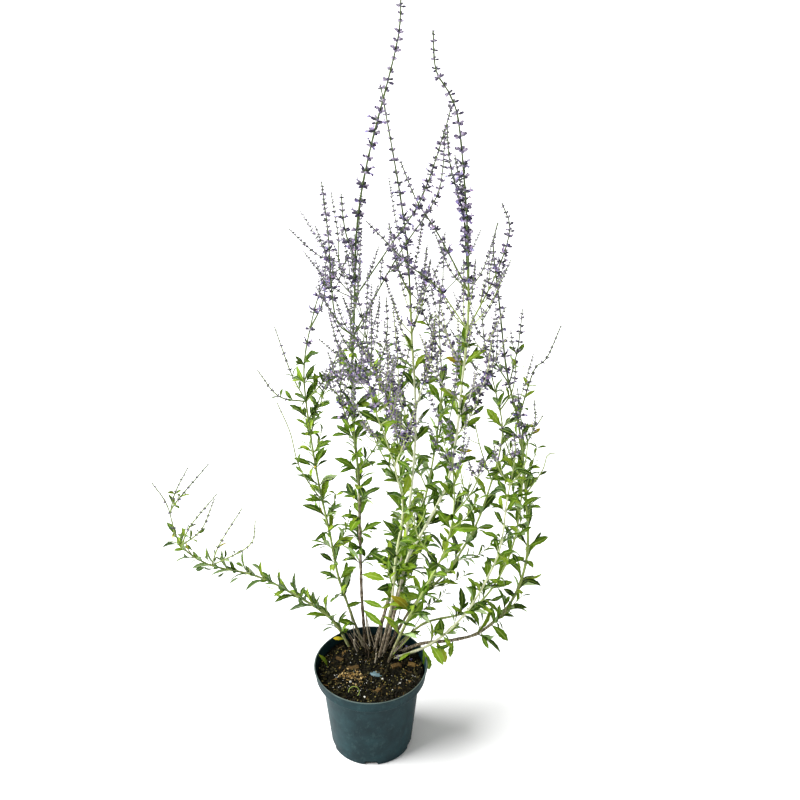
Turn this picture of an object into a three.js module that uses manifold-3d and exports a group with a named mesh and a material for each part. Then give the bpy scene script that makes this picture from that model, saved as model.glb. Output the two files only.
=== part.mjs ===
// A Russian sage in a plastic nursery pot: the pot, its soil, the leafy shoots that rise from the
// crown behind the pot's middle, last year's dry stalks and what lies loose on the soil.
// Millimetres, +Z up. The origin is on the pot's axis, at its underside. The front is towards -Y.
import * as THREE from "three";
import { mergeVertices } from "three/addons/utils/BufferGeometryUtils.js";
import Module from "manifold-3d";

const wasm = await Module();
wasm.setup();

// Driving dimensions of the pot
const POT_HEIGHT = 150;
const RIM_RADIUS = 85;
const COLLAR_HEIGHT = 21;
const COLLAR_FOOT_RADIUS = 83;
const BODY_TOP_RADIUS = 74;
const BASE_RADIUS = 62;
const BASE_FILLET = 2;
const WALL = 1.6;
const FLOOR = 2;
const LIP = 0.8;
const POT_SEGMENTS = 50;
const DRAIN_SLOTS = 5;
const DRAIN_SLOT = { width: 20, depth: 10, height: 8 };

// The soil
const SOIL_LEVEL = 136;
const SOIL_RINGS = [62, 42, 22];
const CROWN = { x: 5, y: 55, rise: 4, spread: 32 };

// The clear space between two pieces that touch
const GAP = 0.3;

// How the plant is put together
const ROOT_DEPTH = 20;
const SOCKET_LENGTH = 30;
const SOCKET_SIDES = 6;
const STEM_SIDES = 5;
const NODE_SPACING = 58;
const BRANCH_SIDES = 3;
const BRANCH_STEPS = 8;
const BRANCH_RADIUS = 1.2;
const BARE_BRANCH = 0.3;
const TIP_RADIUS = 0.7;

// A whorl's radius where the stem ends at the soil and at its tip, or a branch at its two ends
const STEM_WHORL = [4.7, 1.1];
const BRANCH_WHORL = [5, 1.4];

// A leaf's size, how far it leans off its stem in radians, and its lengths low and high on the stem
const LEAF = { width: 9, thickness: 1.2, lean: 0.85, low: 36, high: 25 };
const LEAF_END_SLACK = 8;

// Each shoot is a route of points from the soil's surface to its tip, with the routes of its side
// branches. leaves gives the stretch of the stem, from 0 at the soil to 1 at the tip, that bears
// leaf pairs, and the flower whorls fill the rest. turn is the first leaf pair's bearing in degrees.
const SHOOTS = {
  shoot_left_low: {
    radius: 1.9, turn: 20, leaves: [0.15, 0.85],
    route: [[-35, 54, 136], [-65, 60, 190], [-130, 70, 235], [-180, 75, 260], [-245, 75, 280],
      [-285, 80, 315], [-300, 88, 380], [-320, 95, 415]],
    branches: [
      [[-245, 80, 280], [-225, 70, 320], [-185, 60, 395]],
      [[-285, 85, 320], [-265, 70, 355], [-220, 60, 420]],
      [[-295, 90, 355], [-285, 80, 390], [-230, 70, 465]],
    ],
  },
  shoot_left: {
    radius: 2.1, turn: 75, leaves: [0.12, 0.72],
    route: [[-12, 51, 137], [-34, 64, 205], [-50, 75, 260], [-60, 80, 330], [-75, 85, 425],
      [-85, 90, 515], [-90, 95, 600], [-80, 100, 665], [-60, 110, 730], [-30, 115, 760],
      [-10, 120, 815]],
    branches: [
      [[-75, 85, 405], [-100, 75, 455], [-110, 60, 525], [-125, 50, 580]],
      [[-100, 95, 530], [-125, 75, 575], [-150, 60, 625]],
      [[-95, 105, 560], [-110, 115, 590], [-130, 120, 660]],
      [[-85, 95, 510], [-70, 115, 550], [-35, 140, 615]],
      [[-85, 100, 565], [-55, 85, 605], [-35, 70, 665]],
      [[-80, 110, 660], [-60, 105, 710], [-55, 95, 770]],
    ],
  },
  shoot_tallest: {
    radius: 2.5, turn: 0, leaves: [0.14, 0.55],
    route: [[-10, 62, 137], [-14, 63, 225], [-15, 60, 350], [-15, 55, 450], [-20, 45, 540],
      [-20, 35, 640], [-15, 30, 745], [-10, 20, 850], [5, 10, 945], [40, -10, 1090],
      [45, -20, 1145]],
    branches: [
      [[-15, 60, 450], [20, 40, 535], [45, 20, 635]],
      [[-20, 45, 535], [-35, 30, 595], [-35, 20, 685]],
      [[-20, 35, 670], [-40, 20, 730], [-45, 5, 850], [-50, -10, 925]],
      [[-5, 30, 710], [40, 35, 805], [80, 45, 865], [95, 50, 900], [100, 60, 970]],
      [[-10, 25, 755], [30, 10, 830], [70, -10, 905], [100, -25, 1010], [100, -40, 1030]],
      [[-10, 15, 795], [-25, 30, 845], [-30, 50, 885]],
    ],
  },
  shoot_centre: {
    radius: 2.5, turn: 40, leaves: [0.12, 0.55],
    route: [[5, 45, 137], [20, 47, 205], [35, 50, 265], [50, 52, 325], [60, 55, 430],
      [65, 60, 505], [65, 62, 585], [60, 65, 670], [55, 70, 780], [45, 70, 870], [25, 75, 990],
      [20, 80, 1015]],
    branches: [
      [[65, 55, 500], [35, 45, 570], [10, 30, 645], [-10, 5, 700]],
      [[60, 60, 530], [45, 70, 575], [40, 80, 645], [35, 90, 700]],
      [[65, 60, 585], [85, 45, 650], [90, 30, 725]],
      [[60, 65, 670], [75, 85, 720], [85, 100, 770]],
      [[55, 70, 730], [40, 55, 785], [30, 40, 850]],
    ],
  },
  shoot_right_tall: {
    radius: 2.5, turn: 10, leaves: [0.1, 0.56],
    route: [[20, 40, 137], [40, 35, 240], [55, 25, 330], [80, 20, 390], [110, 10, 475],
      [120, 0, 555], [125, -10, 645], [130, -20, 745], [125, -30, 875], [110, -40, 1010],
      [95, -50, 1065], [80, -60, 1120]],
    branches: [
      [[120, 5, 550], [135, -5, 585], [155, -20, 660], [160, -30, 720]],
      [[125, 0, 650], [115, 20, 680], [90, 40, 725]],
      [[130, -10, 740], [90, -30, 795], [55, -50, 835], [5, -70, 900]],
      [[135, -10, 735], [165, 0, 800], [180, 10, 855], [170, 20, 885]],
      [[125, -15, 810], [90, 0, 855], [65, 15, 890], [45, 30, 935]],
    ],
  },
  shoot_right_back: {
    radius: 2.2, turn: 55, leaves: [0.12, 0.8],
    route: [[28, 55, 136], [65, 70, 205], [115, 75, 265], [140, 85, 305], [160, 90, 350],
      [180, 100, 420], [190, 105, 470], [190, 115, 515], [165, 120, 620], [155, 130, 695]],
    branches: [
      [[160, 80, 355], [140, 95, 400], [130, 110, 445]],
      [[180, 95, 420], [160, 85, 480], [150, 70, 530]],
      [[190, 110, 520], [205, 125, 555], [210, 140, 595]],
    ],
  },
  shoot_right_low: {
    radius: 2.2, turn: 30, leaves: [0.12, 0.85],
    route: [[38, 27, 136], [90, 18, 172], [135, 10, 230], [165, 0, 300], [185, -15, 380],
      [190, -25, 465], [195, -40, 530], [195, -55, 570], [190, -70, 605]],
    branches: [
      [[190, -40, 475], [175, -55, 540], [165, -70, 590]],
      [[190, -40, 480], [210, -30, 525], [215, -20, 565]],
    ],
  },
  shoot_right_woody: {
    radius: 2.6, turn: 65, leaves: [0.16, 0.66],
    route: [[45, 41, 136], [80, 32, 162], [125, 30, 170], [168, 30, 188], [210, 35, 240],
      [230, 40, 320], [225, 50, 420], [210, 60, 535], [190, 65, 620], [175, 70, 730],
      [165, 70, 805], [170, 75, 835]],
    branches: [
      [[225, 55, 415], [245, 45, 470], [250, 40, 500], [260, 30, 510]],
      [[210, 60, 520], [230, 50, 540], [240, 40, 565]],
      [[195, 60, 570], [225, 50, 630], [240, 40, 655], [255, 30, 710]],
      [[200, 60, 595], [205, 80, 650], [210, 95, 700]],
      [[190, 60, 600], [175, 75, 630], [165, 90, 665]],
    ],
  },
  shoot_right_mid: {
    radius: 2, turn: 15, leaves: [0.2, 0.8],
    route: [[37, 50, 136], [80, 58, 178], [130, 52, 200], [158, 40, 228], [185, 25, 285],
      [205, 8, 365], [212, -5, 460], [208, -20, 560], [195, -40, 655]],
    branches: [
      [[205, -20, 500], [190, -5, 540], [180, 10, 570]],
      [[205, -25, 545], [220, -40, 600], [215, -60, 650]],
    ],
  },
  shoot_front: {
    radius: 2.1, turn: 50, leaves: [0.15, 0.75],
    route: [[12, 27, 137], [30, 22, 235], [38, 8, 345], [48, -6, 440], [38, -14, 510],
      [25, -25, 570], [15, -45, 615], [5, -65, 675], [-5, -90, 740], [-15, -110, 785]],
    branches: [
      [[40, -40, 530], [55, -60, 605], [65, -80, 660]],
      [[20, -55, 595], [30, -50, 645], [35, -40, 700]],
      [[10, -75, 660], [-5, -95, 705], [-20, -120, 740]],
    ],
  },
  shoot_back: {
    radius: 2.1, turn: 35, leaves: [0.15, 0.75],
    route: [[5, 62, 137], [25, 74, 210], [40, 82, 285], [50, 90, 370], [45, 100, 420],
      [40, 110, 480], [20, 120, 565], [5, 130, 590], [-15, 140, 695], [-40, 150, 745]],
    branches: [
      [[45, 95, 420], [15, 105, 465], [-5, 120, 510]],
      [[30, 110, 530], [50, 130, 585], [60, 150, 625]],
      [[15, 125, 575], [25, 145, 630], [25, 160, 685]],
    ],
  },
  shoot_back_right: {
    radius: 2.2, turn: 80, leaves: [0.15, 0.75],
    route: [[18, 59, 137], [45, 95, 230], [75, 125, 330], [95, 150, 430], [105, 170, 530],
      [100, 185, 640], [105, 195, 700]],
    branches: [
      [[85, 135, 370], [60, 160, 430], [50, 175, 490]],
      [[100, 160, 480], [130, 165, 540], [140, 180, 600]],
      [[100, 180, 600], [75, 195, 650], [65, 205, 700]],
    ],
  },
  shoot_front_right: {
    radius: 2.1, turn: 60, leaves: [0.15, 0.8],
    route: [[26, 18, 136], [52, 3, 225], [80, -30, 320], [105, -60, 410], [115, -85, 500],
      [110, -100, 590], [105, -110, 650]],
    branches: [
      [[95, -45, 370], [70, -60, 430], [60, -80, 490]],
      [[113, -75, 470], [140, -85, 530], [150, -100, 590]],
    ],
  },
};

// Last year's cut stalks and the thin dry ones that fan out to the right: foot on the soil and tip
const DRY_STALKS = [
  { foot: [-24, 50, 136], tip: [-44, 52, 176], radius: 1.2 },
  { foot: [-21, 40, 137], tip: [-26, 28, 172], radius: 1.4 },
  { foot: [-8, 38, 138], tip: [-10, 30, 180], radius: 1.4 },
  { foot: [-4, 27, 137], tip: [-6, 16, 170], radius: 1.2 },
  { foot: [-2, 53, 139], tip: [-8, 56, 196], radius: 1.6 },
  { foot: [13, 51, 138], tip: [22, 56, 214], radius: 1.5 },
  { foot: [6, 15, 137], tip: [8, 4, 166], radius: 1.3 },
  { foot: [28, 45, 137], tip: [48, 56, 232], radius: 1.2 },
  { foot: [34, 40, 136], tip: [86, 72, 246], radius: 1 },
  { foot: [40, 37, 136], tip: [92, 60, 228], radius: 0.9 },
  { foot: [31, 32, 136], tip: [76, 38, 196], radius: 1 },
  { foot: [-25, 57, 136], tip: [-34, 74, 190], radius: 1.1 },
];

const DRY_STALK_SIDES = 5;
const DRY_STALK_TAPER = 0.35;

// What lies loose on the soil: place, half lengths along its own axes, and its turn in degrees. Its
// middle lies higher than the soil by lift, a share of its half height.
const CHIP_SEAT = { lift: 0.35, tilt: 0.2 };
const CHIPS = {
  bark_chip_right: { at: [38, 8], half: [7, 3.5, 2.2], turn: 25 },
  bark_chip_left: { at: [-48, 24], half: [6, 3.6, 2], turn: -35 },
  bark_chip_middle: { at: [-26, 6], half: [8, 4.5, 2.4], turn: 15 },
  bark_chip_front: { at: [10, -44], half: [6.5, 3.2, 2], turn: 60 },
  bark_chip_back: { at: [62, 12], half: [5.5, 3, 1.8], turn: -10 },
  stone_flake: { at: [8, -9], half: [10, 5.5, 1.6], turn: -15 },
  perlite_left: { at: [-30, -28], half: [2.4, 2.1, 1.8], turn: 0 },
  perlite_front: { at: [-8, -56], half: [2, 2.2, 1.7], turn: 30 },
  perlite_right: { at: [44, -30], half: [2.3, 2, 1.9], turn: 75 },
  perlite_middle: { at: [18, -18], half: [1.9, 2.1, 1.6], turn: 10 },
};
const FALLEN_LEAF = { foot: [-66, 8, 134], tip: [-75, 10, 160], width: 9, thickness: 1.2 };
const DRY_TENDRIL = {
  at: [-24, -50], radius: 8, thickness: 0.8, lean: 62, start: -1.97, arc: 5.2, rise: 3.2, lift: 4.5,
};
const TENDRIL_POINTS = 8;
const TENDRIL_STEPS = 10;
const TENDRIL_SIDES = 4;

// The finishes
const FINISH = {
  pot: { color: "#2c4144", roughness: 0.5, metalness: 0 },
  soil: { color: "#1f1812", roughness: 0.95, metalness: 0 },
  shoot: { color: "#5f8a35", roughness: 0.65, metalness: 0 },
  dry_stalk: { color: "#7b6650", roughness: 0.8, metalness: 0 },
  bark: { color: "#a8875c", roughness: 0.85, metalness: 0 },
  stone: { color: "#8fa0a6", roughness: 0.8, metalness: 0 },
  perlite: { color: "#e8e6de", roughness: 0.9, metalness: 0 },
};

const UP = new THREE.Vector3(0, 0, 1);

function vector(list) {
  return new THREE.Vector3(...list);
}

// A closed mesh as a solid that can be joined and cut
function solid(geometry) {
  const bare = geometry.index ? geometry.toNonIndexed() : geometry.clone();
  bare.deleteAttribute("normal");
  bare.deleteAttribute("uv");
  const merged = mergeVertices(bare, 1e-4);
  return new wasm.Manifold(new wasm.Mesh({
    numProp: 3,
    vertProperties: new Float32Array(merged.attributes.position.array),
    triVerts: new Uint32Array(merged.index.array),
  }));
}

function mesh(name, body, finish) {
  const { numProp, vertProperties, triVerts } = body.getMesh();
  const geometry = new THREE.BufferGeometry();
  const count = vertProperties.length / numProp;
  const positions = new Float32Array(count * 3);
  for (let i = 0; i < count; i += 1) {
    positions.set(vertProperties.subarray(i * numProp, i * numProp + 3), i * 3);
  }
  geometry.setAttribute("position", new THREE.BufferAttribute(positions, 3));
  geometry.setIndex(new THREE.BufferAttribute(new Uint32Array(triVerts), 1));
  geometry.computeVertexNormals();
  const result = new THREE.Mesh(geometry, new THREE.MeshStandardMaterial(FINISH[finish]));
  result.name = name;
  return result;
}

// A smooth route through its points
function smooth(points) {
  return new THREE.CatmullRomCurve3(points, false, "catmullrom", 0.5);
}

// A round rod along a route whose radius follows radiusAt(0..1)
function rod(curve, sides, steps, radiusAt) {
  const section = new THREE.Shape();
  section.absarc(0, 0, 1, 0, 2 * Math.PI);
  const corners = section.getSpacedPoints(sides).slice(0, sides);
  const geometry = new THREE.ExtrudeGeometry(new THREE.Shape(corners), {
    steps, extrudePath: curve, bevelEnabled: false,
  });
  const centres = curve.getSpacedPoints(steps);
  const position = geometry.attributes.position;
  const corner = new THREE.Vector3();
  for (let i = 0; i < position.count; i += 1) {
    corner.fromBufferAttribute(position, i);
    const distances = centres.map((centre) => centre.distanceToSquared(corner));
    const nearest = distances.indexOf(Math.min(...distances));
    const centre = centres[nearest];
    corner.sub(centre).multiplyScalar(radiusAt(nearest / steps)).add(centre);
    position.setXYZ(i, corner.x, corner.y, corner.z);
  }
  return solid(geometry);
}

// The pot's inner radius at a height, GAP clear of the wall
function innerRadius(z) {
  const collarFoot = POT_HEIGHT - COLLAR_HEIGHT;
  const body = THREE.MathUtils.mapLinear(z, 0, collarFoot, BASE_RADIUS, BODY_TOP_RADIUS);
  const collar = THREE.MathUtils.mapLinear(z, collarFoot, POT_HEIGHT, COLLAR_FOOT_RADIUS, RIM_RADIUS);
  return (z < collarFoot + WALL ? body : collar) - WALL - GAP;
}

function pot() {
  const collarFoot = POT_HEIGHT - COLLAR_HEIGHT;
  const outline = [
    [0, 0],
    [BASE_RADIUS - BASE_FILLET, 0],
    [BASE_RADIUS, BASE_FILLET],
    [BODY_TOP_RADIUS, collarFoot],
    [COLLAR_FOOT_RADIUS, collarFoot],
    [RIM_RADIUS, POT_HEIGHT - 3 * LIP],
    [RIM_RADIUS + LIP, POT_HEIGHT - 2 * LIP],
    [RIM_RADIUS + LIP, POT_HEIGHT - LIP],
    [RIM_RADIUS, POT_HEIGHT],
    [RIM_RADIUS - WALL, POT_HEIGHT],
    [COLLAR_FOOT_RADIUS - WALL, collarFoot + WALL],
    [BODY_TOP_RADIUS - WALL, collarFoot + WALL],
    [BASE_RADIUS - WALL, FLOOR],
    [0, FLOOR],
  ];
  const points = outline.map(([r, z]) => new THREE.Vector2(r, z));
  let shell = solid(new THREE.LatheGeometry(points, POT_SEGMENTS).rotateX(Math.PI / 2));
  for (let i = 0; i < DRAIN_SLOTS; i += 1) {
    const slot = new THREE.BoxGeometry(DRAIN_SLOT.depth, DRAIN_SLOT.width, 2 * DRAIN_SLOT.height);
    slot.translate(BASE_RADIUS, 0, 0);
    slot.rotateZ(-Math.PI / 2 + (i / DRAIN_SLOTS) * 2 * Math.PI);
    shell = shell.subtract(solid(slot));
  }
  return shell;
}

// Height of the soil's surface, uneven and a little raised round the crown
function soilTop(x, y) {
  const waves = 1.7 * Math.sin(x / 13 + 0.6) * Math.cos(y / 11) + 1.1 * Math.sin((x + 1.4 * y) / 6);
  const fromCrown = Math.hypot(x - CROWN.x, y - CROWN.y) / CROWN.spread;
  return SOIL_LEVEL + waves + CROWN.rise * Math.exp(-fromCrown * fromCrown);
}

function soilBody() {
  const collarFoot = POT_HEIGHT - COLLAR_HEIGHT;
  const ledge = collarFoot + WALL + GAP;
  const outline = [
    [0, FLOOR + GAP],
    [innerRadius(FLOOR), FLOOR + GAP],
    [innerRadius(ledge - WALL), ledge],
    [innerRadius(ledge), ledge],
    [innerRadius(ledge), SOIL_LEVEL],
    ...SOIL_RINGS.map((r) => [r, SOIL_LEVEL]),
    [0, SOIL_LEVEL],
  ];
  const points = outline.map(([r, z]) => new THREE.Vector2(r, z));
  const geometry = new THREE.LatheGeometry(points, POT_SEGMENTS).rotateX(Math.PI / 2);
  const position = geometry.attributes.position;
  for (let i = 0; i < position.count; i += 1) {
    if (position.getZ(i) > SOIL_LEVEL - 1e-3) {
      position.setZ(i, soilTop(position.getX(i), position.getY(i)));
    }
  }
  return solid(geometry);
}

// A route with its root added: ROOT_DEPTH long, between upright and the way that the stem leaves
function rooted(points) {
  const way = points[1].clone().sub(points[0]).normalize().add(UP).normalize();
  return [points[0].clone().addScaledVector(way, -ROOT_DEPTH), ...points];
}

// The hole in the soil for a rod whose lowest stretch runs straight from foot to next
function socket(foot, next, radius) {
  const way = next.clone().sub(foot).normalize();
  const bottom = foot.clone().addScaledVector(way, -3 * GAP);
  const line = new THREE.LineCurve3(bottom, foot.clone().addScaledVector(way, SOCKET_LENGTH));
  return rod(line, SOCKET_SIDES, 1, () => (radius + GAP) / Math.cos(Math.PI / SOCKET_SIDES));
}

// A square frame across a stem: two bearings at right angles that leaf pairs use in turn
function bearings(tangent, turn) {
  const first = new THREE.Vector3(1, 0, 0).addScaledVector(tangent, -tangent.x).normalize();
  first.applyAxisAngle(tangent, THREE.MathUtils.degToRad(turn));
  return [first, new THREE.Vector3().crossVectors(tangent, first)];
}

// A leaf as a long flat lozenge from its foot. With extra it is the space that the leaf needs, and
// its sharp ends then need LEAF_END_SLACK times as much as its faces.
function leaf(foot, way, across, size, extra = 0) {
  const blade = new THREE.OctahedronGeometry(1);
  const halfLength = size.length / 2 + LEAF_END_SLACK * extra;
  blade.scale(halfLength, size.width / 2 + extra, size.thickness / 2 + extra);
  blade.translate(size.length / 2, 0, 0);
  const face = new THREE.Vector3().crossVectors(way, across);
  blade.applyMatrix4(new THREE.Matrix4().makeBasis(way, across, face));
  return solid(blade.translate(foot.x, foot.y, foot.z));
}

function shootCurve(shoot) {
  return smooth(rooted(shoot.route.map(vector)));
}

// A stem's nodes, evenly spaced from its foot to its tip: leaf pairs, branches and whorls sit there
function stemNodes(curve) {
  const steps = Math.round(curve.getLength() / NODE_SPACING);
  return curve.getSpacedPoints(steps).map((point, i) => (
    { point, u: i / steps, tangent: curve.getTangentAt(i / steps) }
  ));
}

// The leaf pairs of a stem, each at right angles to the one below
function leafPlaces(nodes, shoot) {
  const places = [];
  nodes.forEach(({ point, u, tangent }, i) => {
    if (u < shoot.leaves[0] || u > shoot.leaves[1]) {
      return;
    }
    const side = bearings(tangent, shoot.turn)[i % 2];
    const size = { ...LEAF, length: THREE.MathUtils.lerp(LEAF.low, LEAF.high, u) };
    for (const sign of [-1, 1]) {
      const way = tangent.clone().multiplyScalar(Math.cos(LEAF.lean));
      way.addScaledVector(side, sign * Math.sin(LEAF.lean));
      const across = new THREE.Vector3().crossVectors(way, tangent).normalize();
      places.push({ foot: point, way, across, size });
    }
  });
  return places;
}

// A stem thins towards its tip, and its flower whorls are beads that shrink towards it
function stemRadius(shoot, u, steps) {
  const bare = THREE.MathUtils.lerp(shoot.radius, TIP_RADIUS, u);
  const inFlower = u > shoot.leaves[1] && u < 1;
  const onWhorl = Math.round(u * steps) % 2 === 0;
  return inFlower && onWhorl ? THREE.MathUtils.lerp(...STEM_WHORL, u) + bare : bare;
}

function branchRadius(u) {
  const bare = THREE.MathUtils.lerp(BRANCH_RADIUS, TIP_RADIUS, u);
  const onWhorl = Math.round(u * BRANCH_STEPS) % 2 === 1;
  return u > BARE_BRANCH && onWhorl ? THREE.MathUtils.lerp(...BRANCH_WHORL, u) : bare;
}

// A side branch starts at the stem's nearest node to its first point
function branchRoute(nodes, points) {
  const start = vector(points[0]);
  const away = (node) => node.point.distanceToSquared(start);
  const nearest = nodes.reduce((best, node) => (away(node) < away(best) ? node : best));
  return smooth([nearest.point, ...points.slice(1).map(vector)]);
}

function touches(body, others) {
  return others.some((other) => body.intersect(other).volume() > 0);
}

// One shoot: its stem, its branches and those leaves that have room beside the pieces in place
function shootBody(shoot, placed) {
  const curve = shootCurve(shoot);
  const nodes = stemNodes(curve);
  const steps = nodes.length - 1;
  let body = rod(curve, STEM_SIDES, steps, (u) => stemRadius(shoot, u, steps));
  for (const branch of shoot.branches) {
    body = body.add(rod(branchRoute(nodes, branch), BRANCH_SIDES, BRANCH_STEPS, branchRadius));
  }
  for (const { foot, way, across, size } of leafPlaces(nodes, shoot)) {
    if (!touches(leaf(foot, way, across, size, GAP), placed)) {
      body = body.add(leaf(foot, way, across, size));
    }
  }
  return body;
}

// A dry stalk is straight, and its root carries on the same way below the soil
function dryStalkLine({ foot, tip }) {
  const start = vector(foot);
  const end = vector(tip);
  const way = end.clone().sub(start).normalize();
  return new THREE.LineCurve3(start.addScaledVector(way, -ROOT_DEPTH), end);
}

function dryStalk(stalk) {
  const radiusAt = (u) => stalk.radius * (1 - DRY_STALK_TAPER * u);
  return rod(dryStalkLine(stalk), DRY_STALK_SIDES, 1, radiusAt);
}

// A chip or grain, half sunk in the soil, with a rough six-cornered shape
function chip({ at, half, turn }, extra = 0) {
  const geometry = new THREE.IcosahedronGeometry(1);
  geometry.scale(half[0] + extra, half[1] + extra, half[2] + extra);
  geometry.rotateX(CHIP_SEAT.tilt).rotateZ(THREE.MathUtils.degToRad(turn));
  return solid(geometry.translate(at[0], at[1], soilTop(...at) + half[2] * CHIP_SEAT.lift));
}

function fallenLeaf(extra = 0) {
  const { foot, tip, width, thickness } = FALLEN_LEAF;
  const way = vector(tip).sub(vector(foot));
  const size = { length: way.length(), width, thickness };
  way.normalize();
  const across = new THREE.Vector3().crossVectors(way, UP).normalize();
  return leaf(vector(foot), way, across, size, extra);
}

// A thin dry tendril that stands up from the soil as an open loop
function dryTendril(extra = 0) {
  const { at, radius, thickness, lean, start, arc, rise, lift } = DRY_TENDRIL;
  const hoop = new THREE.Matrix4().makeRotationX(THREE.MathUtils.degToRad(lean));
  hoop.setPosition(at[0], at[1], soilTop(...at) + lift);
  const points = [];
  const longer = extra / radius;
  for (let i = 0; i <= TENDRIL_POINTS; i += 1) {
    const share = i / TENDRIL_POINTS;
    const angle = THREE.MathUtils.lerp(start - longer, start + arc + longer, share);
    points.push(new THREE.Vector3(radius * Math.cos(angle), radius * Math.sin(angle), rise * share));
  }
  const curve = smooth(points.map((point) => point.applyMatrix4(hoop)));
  return rod(curve, TENDRIL_SIDES, TENDRIL_STEPS, () => thickness + extra);
}

const model = new THREE.Group();
model.name = "potted_russian_sage";

const potBody = pot();
model.add(mesh("pot", potBody, "pot"));

let soil = soilBody();
for (const shoot of Object.values(SHOOTS)) {
  const [foot, next] = stemNodes(shootCurve(shoot));
  soil = soil.subtract(socket(foot.point, next.point, shoot.radius));
}
for (const stalk of DRY_STALKS) {
  const { v1, v2 } = dryStalkLine(stalk);
  soil = soil.subtract(socket(v1, v2, stalk.radius));
}
for (const place of Object.values(CHIPS)) {
  soil = soil.subtract(chip(place, GAP));
}
soil = soil.subtract(fallenLeaf(GAP)).subtract(dryTendril(GAP));
model.add(mesh("soil", soil, "soil"));

const placed = [potBody, soil];
DRY_STALKS.forEach((stalk, i) => {
  const body = dryStalk(stalk);
  placed.push(body);
  model.add(mesh(`dry_stalk_${i + 1}`, body, "dry_stalk"));
});
for (const [name, place] of Object.entries(CHIPS)) {
  const body = chip(place);
  placed.push(body);
  model.add(mesh(name, body, name.split("_")[0]));
}
for (const [name, body] of [["fallen_leaf", fallenLeaf()], ["dry_tendril", dryTendril()]]) {
  placed.push(body);
  model.add(mesh(name, body, name === "fallen_leaf" ? "shoot" : "dry_stalk"));
}
for (const [name, shoot] of Object.entries(SHOOTS)) {
  const body = shootBody(shoot, placed);
  placed.push(body);
  model.add(mesh(name, body, "shoot"));
}

export default model;
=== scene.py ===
"""A Russian sage in a nursery pot: injection-moulded pot, peat and bark compost, and thirteen shoots
with toothed leaves in pairs and spikes of small violet flowers."""

import math
import random

import bpy
from mathutils import Matrix, Vector


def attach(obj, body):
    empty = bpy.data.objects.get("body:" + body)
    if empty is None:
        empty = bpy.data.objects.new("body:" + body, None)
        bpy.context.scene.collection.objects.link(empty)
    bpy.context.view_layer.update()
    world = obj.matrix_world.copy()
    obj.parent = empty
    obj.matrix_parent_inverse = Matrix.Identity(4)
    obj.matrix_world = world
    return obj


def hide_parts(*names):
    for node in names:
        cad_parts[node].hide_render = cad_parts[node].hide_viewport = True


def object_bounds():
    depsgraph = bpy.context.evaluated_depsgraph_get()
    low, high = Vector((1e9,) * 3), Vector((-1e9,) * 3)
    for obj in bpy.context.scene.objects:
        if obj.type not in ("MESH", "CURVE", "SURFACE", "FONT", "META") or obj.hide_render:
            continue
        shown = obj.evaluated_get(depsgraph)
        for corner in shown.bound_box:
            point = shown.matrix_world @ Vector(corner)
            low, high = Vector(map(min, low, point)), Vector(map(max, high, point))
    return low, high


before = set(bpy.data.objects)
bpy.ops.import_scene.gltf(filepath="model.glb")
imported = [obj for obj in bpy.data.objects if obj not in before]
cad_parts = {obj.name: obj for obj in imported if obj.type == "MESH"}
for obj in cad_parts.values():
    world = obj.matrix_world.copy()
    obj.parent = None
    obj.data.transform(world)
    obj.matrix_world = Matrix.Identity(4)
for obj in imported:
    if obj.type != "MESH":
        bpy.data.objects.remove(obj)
cad_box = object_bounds()

MM = 0.001
UP = Vector((0, 0, 1))
dice = random.Random(7)

# Driving dimensions of the pot and its soil, in millimetres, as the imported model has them
POT_HEIGHT = 150
RIM_RADIUS = 85
COLLAR_HEIGHT = 21
COLLAR_FOOT_RADIUS = 83
BODY_TOP_RADIUS = 74
BASE_RADIUS = 62
WALL = 1.6
FLOOR = 2
LIP = 0.8
DRAIN_SLOTS = 5
SLOT = {"wide": 20, "deep": 10, "high": 8}
SOIL_LEVEL = 136
SOIL_RADIUS = 81.2
# The mound from which the shoots rise, and how deep their feet go
CROWN = {"x": 5, "y": 55, "rise": 4, "spread": 32}
ROOT_DEPTH = 20

# The camera's place in metres, its tilt below level in degrees, and its lens and sensor
CAMERA_PLACE = (0.044, -1.5, 1.519)
CAMERA_TILT = 31.1
LENS = 59.4
SENSOR = 36
# The room's own light, and the window's strength, its width and its height in degrees
ROOM_LIGHT = 0.5
WINDOW = {"strength": 7.6, "width": 55, "height": 40}
# The side of the floor in metres
FLOOR_SIZE = 80

# The spacing of a stem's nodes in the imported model. Here each spacing bears two leaf pairs, or as many
# as a shoot's steps say.
NODE_SPACING = 58

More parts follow.
